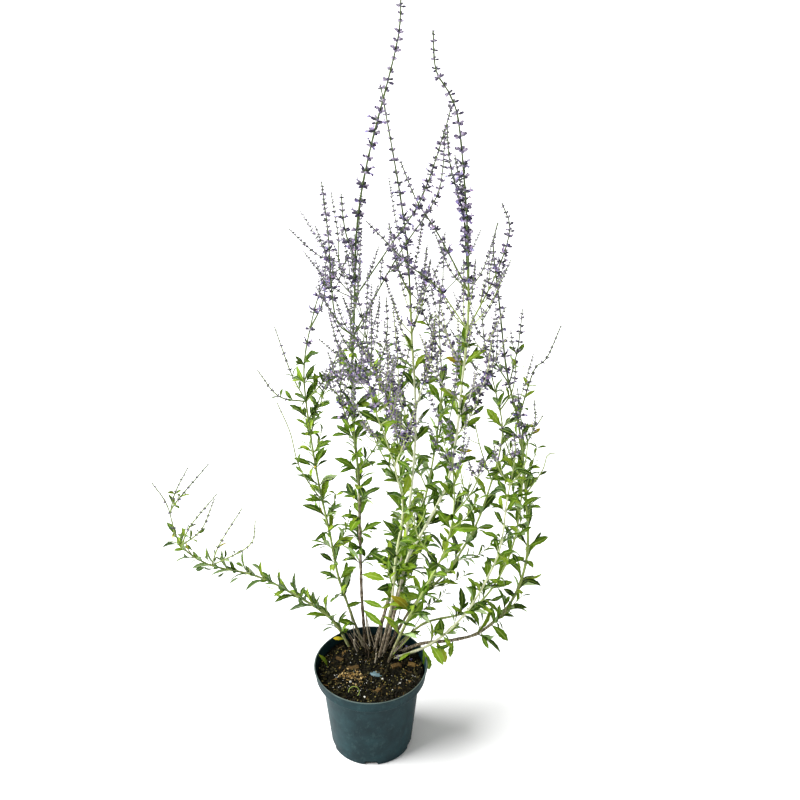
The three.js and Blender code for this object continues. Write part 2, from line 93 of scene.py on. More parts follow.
# Each shoot's route from the soil to its tip, and its side branches, in millimetres. leaves is the
# share of the stem that bears leaf pairs, wood the height up to which its bark is brown, felt how
# white its young stems are, and turn the bearing of its first leaf pair in degrees. Where they are
# given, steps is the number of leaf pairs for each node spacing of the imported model, bloom how large
# its flowers are, leaf_size how large its leaves, tuft the number of small leaves in an axil, flowers
# where on the stem they start, and fine_tip how much they shrink towards its tip.
SHOOTS = {
    "shoot_left_low": {
        "radius": 2.2, "turn": 20, "steps": 4, "bloom": 0.45, "leaf_size": 0.9, "tuft": 1,
        "leaves": (0.08, 0.8), "wood": 130, "felt": 0.35,
        "route": [(-35, 54, 136), (-65, 60, 190), (-130, 70, 235), (-180, 75, 260), (-245, 75, 280),
                  (-285, 80, 315), (-300, 88, 380), (-320, 95, 415)],
        "branches": [
            [(-245, 80, 280), (-225, 70, 320), (-185, 60, 395)],
            [(-285, 85, 320), (-265, 70, 355), (-220, 60, 420)],
            [(-295, 90, 355), (-285, 80, 390), (-230, 70, 465)],
            [(-300, 90, 370), (-285, 85, 405), (-262, 80, 452)],
            [(-265, 78, 298), (-250, 75, 345), (-226, 70, 404)],
            [(-215, 78, 272), (-180, 72, 318), (-168, 66, 368)],
        ],
    },
    "shoot_left": {
        "radius": 2.1, "turn": 75, "bloom": 0.8, "leaf_size": 0.95, "tuft": 4,
        "leaves": (0.12, 0.72), "wood": 190, "felt": 0.2,
        "route": [(-12, 51, 137), (-34, 64, 205), (-50, 75, 260), (-60, 80, 330), (-75, 85, 425),
                  (-85, 90, 515), (-90, 95, 600), (-80, 100, 665), (-60, 110, 730), (-30, 115, 760),
                  (-10, 120, 815)],
        "branches": [
            [(-75, 85, 405), (-100, 75, 455), (-110, 60, 525), (-125, 50, 580)],
            [(-100, 95, 530), (-125, 75, 575), (-150, 60, 625)],
            [(-95, 105, 560), (-110, 115, 590), (-130, 120, 660)],
            [(-85, 95, 510), (-70, 115, 550), (-35, 140, 615)],
            [(-85, 100, 565), (-55, 85, 605), (-35, 70, 665)],
            [(-80, 110, 660), (-60, 105, 710), (-55, 95, 770)],
        ],
    },
    "shoot_tallest": {
        "radius": 2.5, "turn": 0, "tuft": 4, "flowers": 0.64, "fine_tip": 0.3,
        "leaves": (0.14, 0.55), "wood": 420, "felt": 0.15,
        "route": [(-10, 62, 137), (-14, 63, 225), (-15, 60, 350), (-15, 55, 450), (-20, 45, 540),
                  (-20, 35, 640), (-15, 30, 745), (-10, 20, 850), (5, 10, 945), (40, -10, 1090),
                  (45, -20, 1145)],
        "branches": [
            [(-15, 60, 450), (20, 40, 535), (45, 20, 635)],
            [(-20, 45, 535), (-35, 30, 595), (-35, 20, 685)],
            [(-20, 35, 670), (-40, 20, 730), (-45, 5, 850), (-50, -10, 925)],
            [(-5, 30, 710), (40, 35, 805), (80, 45, 865), (95, 50, 900), (100, 60, 970)],
            [(-10, 25, 755), (30, 10, 830), (70, -10, 905), (100, -25, 1010), (100, -40, 1030)],
            [(-10, 15, 795), (-25, 30, 845), (-30, 50, 885)],
        ],
    },
    "shoot_centre": {
        "radius": 2.5, "turn": 40, "bloom": 0.9, "leaves": (0.17, 0.62), "wood": 330, "felt": 0.65,
        "route": [(5, 45, 137), (20, 47, 205), (35, 50, 265), (50, 52, 325), (60, 55, 430),
                  (65, 60, 505), (65, 62, 585), (60, 65, 670), (55, 70, 780), (45, 70, 870),
                  (25, 75, 990), (20, 80, 1015)],
        "branches": [
            [(65, 55, 500), (35, 45, 570), (10, 30, 645), (-10, 5, 700)],
            [(60, 60, 530), (45, 70, 575), (40, 80, 645), (35, 90, 700)],
            [(65, 60, 585), (85, 45, 650), (90, 30, 725)],
            [(60, 65, 670), (75, 85, 720), (85, 100, 770)],
            [(55, 70, 730), (40, 55, 785), (30, 40, 850)],
        ],
    },
    "shoot_right_tall": {
        "radius": 2.5, "turn": 10, "tuft": 3, "flowers": 0.66,
        "leaves": (0.1, 0.61), "wood": 300, "felt": 0.65,
        "route": [(20, 40, 137), (40, 35, 240), (55, 25, 330), (80, 20, 390), (110, 10, 475),
                  (120, 0, 555), (125, -10, 645), (130, -20, 745), (125, -30, 875), (112, -40, 1005),
                  (100, -46, 1045), (84, -54, 1075), (80, -60, 1120)],
        "branches": [
            [(120, 5, 550), (135, -5, 585), (155, -20, 660), (160, -30, 720)],
            [(125, 0, 650), (115, 20, 680), (90, 40, 725)],
            [(130, -10, 740), (90, -30, 795), (55, -50, 835), (5, -70, 900)],
            [(135, -10, 735), (165, 0, 800), (180, 10, 855), (170, 20, 885)],
            [(125, -15, 810), (90, 0, 855), (65, 15, 890), (45, 30, 935)],
            [(126, -20, 800), (122, -26, 880), (103, -34, 955), (98, -40, 1007)],
            [(126, -20, 780), (124, -24, 850), (118, -30, 915), (108, -36, 968)],
        ],
    },
    "shoot_right_back": {
        "radius": 2.2, "turn": 55, "bloom": 0.85, "leaves": (0.12, 0.8), "wood": 230, "felt": 0.3,
        "route": [(28, 55, 136), (65, 70, 205), (115, 75, 265), (140, 85, 305), (160, 90, 350),
                  (180, 100, 420), (190, 105, 470), (190, 115, 515), (165, 120, 620), (155, 130, 695)],
        "branches": [
            [(160, 80, 355), (140, 95, 400), (130, 110, 445)],
            [(180, 95, 420), (160, 85, 480), (150, 70, 530)],
            [(190, 110, 520), (205, 125, 555), (210, 140, 595)],
        ],
    },
    "shoot_right_low": {
        "radius": 2.2, "turn": 30, "bloom": 0.75, "leaf_size": 0.9,
        "leaves": (0.12, 0.85), "wood": 140, "felt": 0.6,
        "route": [(38, 27, 136), (90, 18, 172), (135, 10, 230), (165, 0, 300), (185, -15, 380),
                  (190, -25, 465), (195, -40, 530), (195, -55, 570), (190, -70, 605)],
        "branches": [
            [(190, -40, 475), (175, -55, 540), (165, -70, 590)],
            [(190, -40, 480), (210, -30, 525), (215, -20, 565)],
        ],
    },
    "shoot_right_woody": {
        "radius": 2.6, "turn": 65, "bloom": 0.8, "leaves": (0.16, 0.66), "wood": 230, "felt": 0.25,
        "route": [(45, 41, 136), (80, 32, 162), (125, 30, 170), (168, 30, 188), (210, 35, 240),
                  (230, 40, 320), (225, 50, 420), (210, 60, 535), (190, 65, 620), (175, 70, 730),
                  (165, 70, 805), (170, 75, 835)],
        "branches": [
            [(225, 55, 415), (245, 45, 470), (250, 40, 500), (260, 30, 510)],
            [(210, 60, 520), (230, 50, 540), (240, 40, 565)],
            [(195, 60, 570), (225, 50, 630), (240, 40, 655), (255, 30, 710)],
            [(200, 60, 595), (205, 80, 650), (210, 95, 700)],
            [(190, 60, 600), (175, 75, 630), (165, 90, 665)],
        ],
    },
    "shoot_right_mid": {
        "radius": 2, "turn": 15, "bloom": 0.8, "leaf_size": 0.85,
        "leaves": (0.2, 0.8), "wood": 160, "felt": 0.3,
        "route": [(37, 50, 136), (80, 58, 178), (130, 52, 200), (158, 40, 228), (185, 25, 285),
                  (205, 8, 365), (212, -5, 460), (208, -20, 560), (195, -40, 655)],
        "branches": [
            [(205, -20, 500), (190, -5, 540), (180, 10, 570)],
            [(205, -25, 545), (220, -40, 600), (215, -60, 650)],
        ],
    },
    "shoot_front": {
        "radius": 2.1, "turn": 50, "bloom": 0.85, "leaves": (0.22, 0.75), "wood": 250, "felt": 0.55,
        "route": [(12, 27, 137), (30, 22, 235), (38, 8, 345), (48, -6, 440), (38, -14, 510),
                  (25, -25, 570), (15, -45, 615), (5, -65, 675), (-5, -90, 740), (-15, -110, 785)],
        "branches": [
            [(40, -40, 530), (55, -60, 605), (65, -80, 660)],
            [(20, -55, 595), (30, -50, 645), (35, -40, 700)],
            [(10, -75, 660), (-5, -95, 705), (-20, -120, 740)],
        ],
    },
    "shoot_back": {
        "radius": 2.1, "turn": 35, "bloom": 0.85, "leaves": (0.2, 0.75), "wood": 220, "felt": 0.3,
        "route": [(5, 62, 137), (25, 74, 210), (40, 82, 285), (50, 90, 370), (45, 100, 420),
                  (40, 110, 480), (20, 120, 565), (5, 130, 590), (-15, 140, 695), (-40, 150, 745)],
        "branches": [
            [(45, 95, 420), (15, 105, 465), (-5, 120, 510)],
            [(30, 110, 530), (50, 130, 585), (60, 150, 625)],
            [(15, 125, 575), (25, 145, 630), (25, 160, 685)],
        ],
    },
    "shoot_back_right": {
        "radius": 2.2, "turn": 80, "bloom": 0.85, "leaves": (0.2, 0.75), "wood": 240, "felt": 0.35,
        "route": [(18, 59, 137), (45, 95, 230), (75, 125, 330), (95, 150, 430), (105, 170, 530),
                  (100, 185, 640), (105, 195, 700)],
        "branches": [
            [(85, 135, 370), (60, 160, 430), (50, 175, 490)],
            [(100, 160, 480), (130, 165, 540), (140, 180, 600)],
            [(100, 180, 600), (75, 195, 650), (65, 205, 700)],
        ],
    },
    "shoot_front_right": {
        "radius": 2.1, "turn": 60, "bloom": 0.85, "leaves": (0.15, 0.8), "wood": 200, "felt": 0.3,
        "route": [(26, 18, 136), (52, 3, 225), (80, -30, 320), (105, -60, 410), (115, -85, 500),
                  (110, -100, 590), (105, -110, 650)],
        "branches": [
            [(95, -45, 370), (70, -60, 430), (60, -80, 490)],
            [(113, -75, 470), (140, -85, 530), (150, -100, 590)],
        ],
    },
}

# Last year's cut stalks: foot, tip and radius of each, and the number of the one that is still green
DRY_STALKS = [
    ((-24, 50, 136), (-44, 52, 176), 1.2),
    ((-21, 40, 137), (-26, 28, 172), 1.4),
    ((-8, 38, 138), (-10, 30, 180), 1.4),
    ((-4, 27, 137), (-6, 16, 170), 1.2),
    ((-2, 53, 139), (-8, 56, 196), 1.6),
    ((13, 51, 138), (22, 56, 214), 1.5),
    ((6, 15, 137), (8, 4, 166), 1.3),
    ((28, 45, 137), (48, 56, 232), 1.2),
    ((34, 40, 136), (86, 72, 246), 1),
    ((40, 37, 136), (92, 60, 228), 0.9),
    ((31, 32, 136), (76, 38, 196), 1),
    ((-25, 57, 136), (-34, 74, 190), 1.1),
]
GREEN_STALK = 11
# How many thin stubs stand between them
STUBS = 16

# Heights in millimetres: side branches bear leaves only below the first, and flowering twigs leave the
# stems only below the second
LEAFY_HEIGHT = 680
TWIGGY_HEIGHT = 790
# Below this height only the low shoot, which lies left of this x, has buds
BUD_HEIGHT = 560
LOW_SHOOT_X = -150
# Side branches that end beyond these x are slight, with buds no larger than this
CROWN_SIDES = (-95, 215)
SLIGHT_BLOOM = 0.5

# Leaves in millimetres and degrees: the length and the lean off the stem of a shoot's lowest, and how
# much less the topmost have
LEAF_LENGTH, LEAF_SHORTENING = 43, 12
LEAF_LEAN, LEAF_STEEPENING = 52, 14
# The same lengths on a side branch, its node spacing, and the lean of all leaves on side shoots
BRANCH_LEAF_LENGTH, BRANCH_LEAF_SHORTENING = 27, 16
BRANCH_SPACING = 20
SIDE_LEAN = 46
# The chance that a leaf pair has a leafy side shoot, and the lengths of these
LEAFY_SHOOT_CHANCE = 0.2
LEAFY_SHOOT_LENGTHS = (35, 80)
# The chance that a leaf has turned yellow
YELLOWING = 0.008

# Flowering twigs by the stem that bears them: lengths and radius in millimetres, the chance of each of a
# pair, and the bloom above which a stem has them
TWIGS = {
    "main": {"lengths": (65, 130), "radius": 0.85, "chance": 0.75, "bloom": 0.8},
    "branch": {"lengths": (22, 60), "radius": 0.75, "chance": 0.5, "bloom": 0.75},
}
# Flower spikes: the gap between the lowest whorls in millimetres, and how large these are against their
# patterns. A side spike starts at this share of its stem, and a spike's whorls shrink this much over
# its last quarter.
SPIKES = {
    "main": {"gap": 25, "size": 1.35},
    "branch": {"gap": 16, "size": 1.1},
    "twig": {"gap": 9.5, "size": 0.86},
}
SPIKE_START = 0.3
FINE_TIP = 1.3

# Loose pieces on the soil: middle, half lengths and turn in degrees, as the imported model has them
CHIPS = {
    "bark_chip_right": ((38, 8), (7, 3.5, 2.2), 25),
    "bark_chip_left": ((-48, 24), (6, 3.6, 2), -35),
    "bark_chip_middle": ((-26, 6), (8, 4.5, 2.4), 15),
    "bark_chip_front": ((10, -44), (6.5, 3.2, 2), 60),
    "bark_chip_back": ((62, 12), (5.5, 3, 1.8), -10),
    "stone_flake": ((8, -9), (10, 5.5, 1.6), -15),
    "perlite_left": ((-30, -28), (2.4, 2.1, 1.8), 0),
    "perlite_front": ((-8, -56), (2, 2.2, 1.7), 30),
    "perlite_right": ((44, -30), (2.3, 2, 1.9), 75),
    "perlite_middle": ((18, -18), (1.9, 2.1, 1.6), 10),
}
# The fallen leaf, and the curled stem, whose lean is in degrees and whose start and arc are in radians
FALLEN_LEAF = {"foot": (-66, 8, 134), "tip": (-75, 10, 160)}
TENDRIL = {"at": (-24, -50), "radius": 8, "thickness": 0.8, "lean": 62, "start": -1.97, "arc": 5.2,
           "rise": 3.2, "lift": 4.5}

# Large leaves low on the plant, placed one by one: the height at which each leaves its shoot's stem and
# its tip, in millimetres, and how yellow it has turned
LOW_LEAVES = {
    "shoot_tallest": [(222, (15, 42, 224), 0), (203, (14, 34, 196), 0), (214, (-34, 48, 222), 0),
                      (272, (19, 46, 280), 0)],
    "shoot_right_low": [(163, (91, 10, 126), 0), (180, (116, 6, 145), 0.25), (152, (42, 10, 150), 0),
                        (192, (122, 2, 182), 0), (205, (138, 32, 196), 0)],
    "shoot_right_woody": [(170, (120, 12, 152), 0), (186, (176, 12, 168), 0), (200, (208, 14, 186), 0)],
    "shoot_right_mid": [(190, (98, 34, 176), 0)],
    "shoot_left_low": [(150, (-58, 52, 154), 1.0), (158, (-38, 48, 178), 0)],
    "shoot_left": [(176, (-46, 44, 196), 0)],
}


# Camera, light and floor

def aim_camera():
    """A standing view, from 1.5 m in front of the pot and 1.5 m up."""
    data = bpy.data.cameras.new("camera")
    data.sensor_width = SENSOR
    data.lens = LENS
    camera = bpy.data.objects.new("camera", data)
    bpy.context.collection.objects.link(camera)
    camera.location = CAMERA_PLACE
    camera.rotation_euler = (math.radians(90 - CAMERA_TILT), 0, 0)
    bpy.context.scene.camera = camera


def light_studio():
    """A white room, lit by a very broad window on the left."""
    world = bpy.data.worlds.new("white_room")
    bpy.context.scene.world = world
    world.use_nodes = True
    background = world.node_tree.nodes["Background"]
    background.inputs["Color"].default_value = (1, 1, 1, 1)
    background.inputs["Strength"].default_value = ROOM_LIGHT
    window = bpy.data.lights.new("window", "SUN")
    window.energy = WINDOW["strength"]
    window.angle = math.radians(WINDOW["width"])
    lamp = bpy.data.objects.new("window", window)
    bpy.context.collection.objects.link(lamp)
    height = math.radians(WINDOW["height"])
    towards = Vector((-math.cos(height), -0.08, math.sin(height)))
    lamp.rotation_euler = towards.to_track_quat("Z", "Y").to_euler()
    bpy.context.scene.view_settings.view_transform = "Standard"


# Making

def deselect():
    bpy.ops.object.select_all(action="DESELECT")


def activate(piece):
    deselect()
    piece.select_set(True)
    bpy.context.view_layer.objects.active = piece


def current(name):
    piece = bpy.context.active_object
    piece.name = name
    piece.data.name = name
    return piece


def edit(piece):
    """Opens a piece in edit mode with all of it selected."""
    activate(piece)
    bpy.ops.object.mode_set(mode="EDIT")
    bpy.ops.mesh.select_all(action="SELECT")


def end_edit():
    bpy.ops.object.mode_set(mode="OBJECT")


def pick(piece, wanted):
    """Selects the vertices in edit mode for whose place wanted(x, y, z) holds."""
    bpy.ops.mesh.select_mode(type="VERT")
    bpy.ops.mesh.select_all(action="DESELECT")
    bpy.ops.object.mode_set(mode="OBJECT")
    for vertex in piece.data.vertices:
        vertex.select = wanted(*vertex.co)
    bpy.ops.object.mode_set(mode="EDIT")


def apply_modifiers(piece):
    activate(piece)
    for modifier in list(piece.modifiers):
        bpy.ops.object.modifier_apply(modifier=modifier.name)


def smooth_faces(piece, degrees=40):
    activate(piece)
    bpy.ops.object.shade_smooth_by_angle(angle=math.radians(degrees))


def settle(piece):
    """Puts a piece's place, turn and scale into its mesh."""
    activate(piece)
    bpy.ops.object.transform_apply(location=True, rotation=True, scale=True)


def turning(degrees, axis, size=4):
    """The matrix of a turn about an axis, with so many rows."""
    return Matrix.Rotation(math.radians(degrees), size, axis)


def hand_over(piece, slot, *nodes):
    """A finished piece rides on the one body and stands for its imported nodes."""
    if nodes:
        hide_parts(*nodes)
    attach(piece, "root")


def join(name, pieces):
    deselect()
    for piece in pieces:
        piece.select_set(True)
    bpy.context.view_layer.objects.active = pieces[0]
    bpy.ops.object.join()
    return current(name)


def mark(mesh, name, value):
    """A number for the whole mesh, which its material reads."""
    layer = mesh.attributes.get(name) or mesh.attributes.new(name, "FLOAT", "POINT")
    layer.data.foreach_set("value", [value] * len(mesh.vertices))


def copied(pattern, matrix, **marks):
    """A copy of a pattern with a mesh of its own, put in place and marked."""
    mesh = pattern.data.copy()
    mesh.transform(matrix)
    for name, value in marks.items():
        mark(mesh, name, value)
    copy = bpy.data.objects.new(pattern.name, mesh)
    bpy.context.collection.objects.link(copy)
    return copy


def linear(code):
    """An sRGB hex colour as Blender's linear numbers."""
    parts = [int(code[i:i + 2], 16) / 255 for i in (1, 3, 5)]
    return [c / 12.92 if c <= 0.04045 else ((c + 0.055) / 1.055) ** 2.4 for c in parts] + [1]


def node(tree, kind, settings=None, links=None, output=0):
    """Adds a node, sets its properties and sockets, links its inputs and returns one of its outputs.
    stops are a ramp's places and hex colours."""
    new = tree.nodes.new("ShaderNode" + kind)
    for key, value in (settings or {}).items():
        if key == "stops":
            while len(new.color_ramp.elements) < len(value):
                new.color_ramp.elements.new(0.5)
            for element, (place, code) in zip(new.color_ramp.elements, value):
                element.position = place
                element.color = linear(code)
        elif isinstance(key, str) and hasattr(new, key):
            setattr(new, key, value)
        else:
            new.inputs[key].default_value = value
    for key, source in (links or {}).items():
        tree.links.new(source, new.inputs[key])
    return new.outputs[output]


def new_material(name, **sockets):
    """A material with its Principled shader, whose constant values go on its own sockets."""
    material = bpy.data.materials.new(name)
    material.use_nodes = True
    shader = material.node_tree.nodes["Principled BSDF"]
    for key, value in sockets.items():
        shader.inputs[key.replace("_", " ")].default_value = value
    return material, material.node_tree, shader


def dress(tree, shader, colour, relief, strength, depth):
    """Gives a shader its colour and its relief, whose depth is in millimetres."""
    tree.links.new(colour, shader.inputs["Base Color"])
    raised = node(tree, "Bump", {"Strength": strength, "Distance": depth * MM}, {"Height": relief})
    tree.links.new(raised, shader.inputs["Normal"])


# Sockets of a colour Mix node
FACTOR, FIRST, SECOND, MIXED = 0, 6, 7, 2


# Materials

def moulded_polypropylene():
    """Injection-moulded polypropylene, dark slate green and satin, with faint chalky scuffs down the
    wall and a lip that is paler where it was knocked."""
    material, tree, shader = new_material("moulded_polypropylene", Specular_IOR_Level=0.07)
    where = node(tree, "TexCoord", output="Object")
    cloud = node(tree, "TexNoise", {"Scale": 1 / (34 * MM), "Detail": 4.0, "Roughness": 0.6},
                 {"Vector": where})
    base = node(tree, "ValToRGB", {"stops": [(0.34, "#102428"), (0.5, "#142a2e"), (0.68, "#1a3337")]},
                {"Fac": cloud})
    drawn_down = node(tree, "Mapping", {"Scale": (1, 1, 0.6)}, {"Vector": where})
    chalk = node(tree, "TexNoise", {"Scale": 1 / (7 * MM), "Detail": 7.0, "Roughness": 0.68},
                 {"Vector": drawn_down})
    scuffed = node(tree, "MapRange", {"From Min": 0.52, "From Max": 0.72, "To Max": 0.1}, {"Value": chalk})
    dusty = node(tree, "Mix", {"data_type": "RGBA", SECOND: linear("#6d8a88")},
                 {FACTOR: scuffed, FIRST: base}, MIXED)
    height = node(tree, "SeparateXYZ", {}, {"Vector": where}, "Z")
    lip = {"From Min": (POT_HEIGHT - 1.2) * MM, "From Max": (POT_HEIGHT - 0.2) * MM, "To Max": 0.35}
    lip_wear = node(tree, "MapRange", lip, {"Value": height})
    patchy = node(tree, "Math", {"operation": "MULTIPLY"}, {0: lip_wear, 1: cloud})
    worn = node(tree, "Mix", {"data_type": "RGBA", SECOND: linear("#a9b3a6")},
                {FACTOR: patchy, FIRST: dusty}, MIXED)
    satin = node(tree, "MapRange", {"To Min": 0.36, "To Max": 0.66}, {"Value": chalk})
    tree.links.new(satin, shader.inputs["Roughness"])
    grain = node(tree, "TexNoise", {"Scale": 1 / (1.5 * MM), "Detail": 3.0}, {"Vector": where})
    dress(tree, shader, worn, grain, 0.15, 0.3)
    return material


def damp_compost():
    """Peat and composted bark, watered: near black between clods of brown, and dull."""
    material, tree, shader = new_material("damp_compost", Roughness=0.95, Specular_IOR_Level=0.08)
    where = node(tree, "TexCoord", output="Object")
    clods = node(tree, "TexNoise", {"Scale": 1 / (3.5 * MM), "Detail": 6.0, "Roughness": 0.75},
                 {"Vector": where})
    stops = [(0.38, "#030301"), (0.52, "#0c0b04"), (0.64, "#1f1b0d"), (0.78, "#4a4424")]
    dress(tree, shader, node(tree, "ValToRGB", {"stops": stops}, {"Fac": clods}), clods, 0.9, 1.0)
    return material


def natural(name, stops, grain_size, roughness, relief=0.3):
    """A dull natural surface: its colour goes along stops by each piece's tone, shifted a little
    by a grain of the given size, which also roughens it. Sizes are in millimetres."""
    material, tree, shader = new_material(name, Roughness=roughness, Specular_IOR_Level=0.15)
    where = node(tree, "TexCoord", output="Object")
    tone = node(tree, "Attribute", {"attribute_name": "tone"}, output="Fac")
    grain = node(tree, "TexNoise", {"Scale": 1 / (grain_size * MM), "Detail": 4.0}, {"Vector": where})
    lowered = node(tree, "Math", {"operation": "SUBTRACT", 1: 0.3}, {0: tone})
    level = node(tree, "Math", {"operation": "MULTIPLY_ADD", 1: 0.6}, {0: grain, 2: lowered})
    dress(tree, shader, node(tree, "ValToRGB", {"stops": stops}, {"Fac": level}), grain, 0.5, relief)
    return material


def sage_leaf(name, stops, rib_colour, rib_strength):
    """A sage leaf: matt and a little translucent, with a paler midrib and sunken side veins. Old
    leaves turn yellow from the tip."""
    material, tree, shader = new_material(name, Roughness=0.55, Specular_IOR_Level=0.12,
                                          Subsurface_Weight=0.15, Subsurface_Scale=0.8 * MM,
                                          Subsurface_Radius=(0.7, 1.0, 0.15))
    blade = node(tree, "TexCoord", output="UV")
    along = node(tree, "SeparateXYZ", {}, {"Vector": blade}, "X")
    across = node(tree, "SeparateXYZ", {}, {"Vector": blade}, "Y")
    tone = node(tree, "Attribute", {"attribute_name": "tone"}, output="Fac")
    age = node(tree, "Attribute", {"attribute_name": "age"}, output="Fac")
    patch = node(tree, "TexNoise", {"Scale": 1 / (6 * MM), "Detail": 3.0},
                 {"Vector": node(tree, "TexCoord", output="Object")})
    lowered = node(tree, "Math", {"operation": "SUBTRACT", 1: 0.25}, {0: tone})
    level = node(tree, "Math", {"operation": "MULTIPLY_ADD", 1: 0.5}, {0: patch, 2: lowered})
    green = node(tree, "ValToRGB", {"stops": stops}, {"Fac": level})
    off_middle = node(tree, "Math", {"operation": "SUBTRACT", 1: 0.5}, {0: across})
    aside = node(tree, "Math", {"operation": "ABSOLUTE"}, {0: off_middle})
    rib = {"From Min": 0.03, "From Max": 0.1, "To Min": rib_strength, "To Max": 0.0}
    on_rib = node(tree, "MapRange", rib, {"Value": aside})
    ribbed = node(tree, "Mix", {"data_type": "RGBA", SECOND: linear(rib_colour)},
                  {FACTOR: on_rib, FIRST: green}, MIXED)
    yellowed = node(tree, "Math", {"operation": "MULTIPLY"}, {0: age, 1: along})
    aged = node(tree, "Mix", {"data_type": "RGBA", SECOND: linear("#c6ab1e")},
                {FACTOR: yellowed, FIRST: ribbed}, MIXED)
    slant = node(tree, "Math", {"operation": "MULTIPLY_ADD", 1: -0.9}, {0: aside, 2: along})
    repeated = node(tree, "Math", {"operation": "MULTIPLY", 1: 50.0}, {0: slant})
    veins = node(tree, "Math", {"operation": "SINE"}, {0: repeated})
    dress(tree, shader, aged, veins, 0.5, 0.3)
    return material


def calyx_felt():
    """Calyces under short felt: grey-green at the foot, dark violet at the mouth, dull."""
    material, tree, shader = new_material("calyx_felt", Roughness=0.85, Specular_IOR_Level=0.2)
    tip = node(tree, "Attribute", {"attribute_name": "tip"}, output="Fac")
    shade = node(tree, "Attribute", {"attribute_name": "shade"}, output="Fac")
    stops = [(0.0, "#272036"), (0.4, "#433c53"), (0.75, "#70667e"), (1.0, "#a59aaf")]
    violet = node(tree, "ValToRGB", {"stops": stops}, {"Fac": shade})
    stops = [(0.0, "#46543a"), (0.5, "#6c7762"), (1.0, "#939b8c")]
    green = node(tree, "ValToRGB", {"stops": stops}, {"Fac": shade})
    risen = node(tree, "MapRange", {"From Min": 0.05, "From Max": 0.6}, {"Value": tip})
    colour = node(tree, "Mix", {"data_type": "RGBA"}, {FACTOR: risen, FIRST: green, SECOND: violet}, MIXED)
    felt = node(tree, "TexNoise", {"Scale": 1 / (0.8 * MM), "Detail": 2.0},
                {"Vector": node(tree, "TexCoord", output="Object")})
    dress(tree, shader, colour, felt, 0.6, 0.3)
    return material


def violet_petal():
    """Thin corolla lobes: mauve, paler in some, with a soft matt glow."""
    material, tree, shader = new_material("violet_petal", Roughness=0.55, Specular_IOR_Level=0.3,
                                          Subsurface_Weight=0.3, Subsurface_Scale=0.5 * MM)
    shade = node(tree, "Attribute", {"attribute_name": "shade"}, output="Fac")
    streak = node(tree, "TexNoise", {"Scale": 1 / (1.5 * MM), "Detail": 2.0},
                  {"Vector": node(tree, "TexCoord", output="Object")})
    level = node(tree, "Math", {"operation": "MULTIPLY_ADD", 1: 0.5}, {0: streak, 2: shade})
    stops = [(0.2, "#544a76"), (0.6, "#736894"), (1.0, "#a394b8")]
    tree.links.new(node(tree, "ValToRGB", {"stops": stops}, {"Fac": level}), shader.inputs["Base Color"])
    return material


def felted_stem():
    """Stems: dark green among the flowers, paler lower down, whitish where the felt is thick, and
    brown cracked bark towards the foot."""
    material, tree, shader = new_material("felted_stem", Roughness=0.8, Specular_IOR_Level=0.25)
    wood = node(tree, "Attribute", {"attribute_name": "wood"}, output="Fac")
    felt = node(tree, "Attribute", {"attribute_name": "felt"}, output="Fac")
    drawn_up = node(tree, "Mapping", {"Scale": (1, 1, 0.2)},
                    {"Vector": node(tree, "TexCoord", output="Object")})
    grain = node(tree, "TexNoise", {"Scale": 1 / (1.8 * MM), "Detail": 4.0, "Roughness": 0.6},
                 {"Vector": drawn_up})
    level = node(tree, "Math", {"operation": "MULTIPLY_ADD", 1: 0.45}, {0: grain, 2: felt})
    stops = [(0.12, "#39462c"), (0.3, "#55653a"), (0.5, "#85964c"), (0.75, "#b0b884"), (1.0, "#dcdccb")]
    young = node(tree, "ValToRGB", {"stops": stops}, {"Fac": level})
    stops = [(0.3, "#251e15"), (0.5, "#5c503f"), (0.7, "#b5ab97")]
    bark = node(tree, "ValToRGB", {"stops": stops}, {"Fac": grain})
    skin = node(tree, "Mix", {"data_type": "RGBA"}, {FACTOR: wood, FIRST: young, SECOND: bark}, MIXED)
    dress(tree, shader, skin, grain, 0.6, 0.3)
    return material


def white_paper():
    """Matt white background paper."""
    return new_material("white_paper", Base_Color=linear("#fafafa"), Roughness=0.95,
                        Specular_IOR_Level=0.1)[0]


POT_SKIN = moulded_polypropylene()
COMPOST = damp_compost()
STEM_SKIN = felted_stem()
LEAF_TOP = sage_leaf("sage_leaf_upper",
                     [(0.05, "#284108"), (0.4, "#46650d"), (0.7, "#638215"), (1.0, "#899f2b")],
                     "#a5ba5c", 0.5)
LEAF_UNDER = sage_leaf("sage_leaf_underside",
                       [(0.05, "#45622c"), (0.5, "#6b8a48"), (1.0, "#a0b57f")], "#b9c79a", 0.7)
CALYX_FELT = calyx_felt()
PETAL = violet_petal()
# Dead stems, weathered grey brown with a long grain
DRY_WOOD = natural("weathered_stalk", [(0.1, "#1f1810"), (0.5, "#4f4436"), (0.95, "#aea48f")], 1.6, 0.9)
# Pine bark, tan with dark plates
BARK = natural("pine_bark", [(0.1, "#1a120a"), (0.45, "#46361c"), (0.8, "#85693a"), (1.0, "#b69d6a")],
               2.5, 0.9, 0.5)
# Crumbs of compost, from black to straw
CRUMB = natural("compost_crumb", [(0.1, "#050401"), (0.5, "#131108"), (0.75, "#332f18"), (1.0, "#6e6536")],
                2.0, 0.95, 0.5)
# Expanded perlite, dusty white with grey pores
PERLITE = natural("perlite", [(0.1, "#7f7c74"), (0.5, "#bfbdb4"), (0.9, "#dcdbd3")], 0.8, 0.9)
# A flake of slate, blue grey with a paler edge
SLATE = natural("slate_flake", [(0.1, "#33444a"), (0.5, "#5d7379"), (0.9, "#a5b4b6")], 2.0, 0.7)
# A cut stem gone limp, yellow green
WITHERED = natural("withered_stem", [(0.1, "#46561a"), (0.5, "#76883a"), (0.9, "#aab36c")], 2.0, 0.7)


# The pot

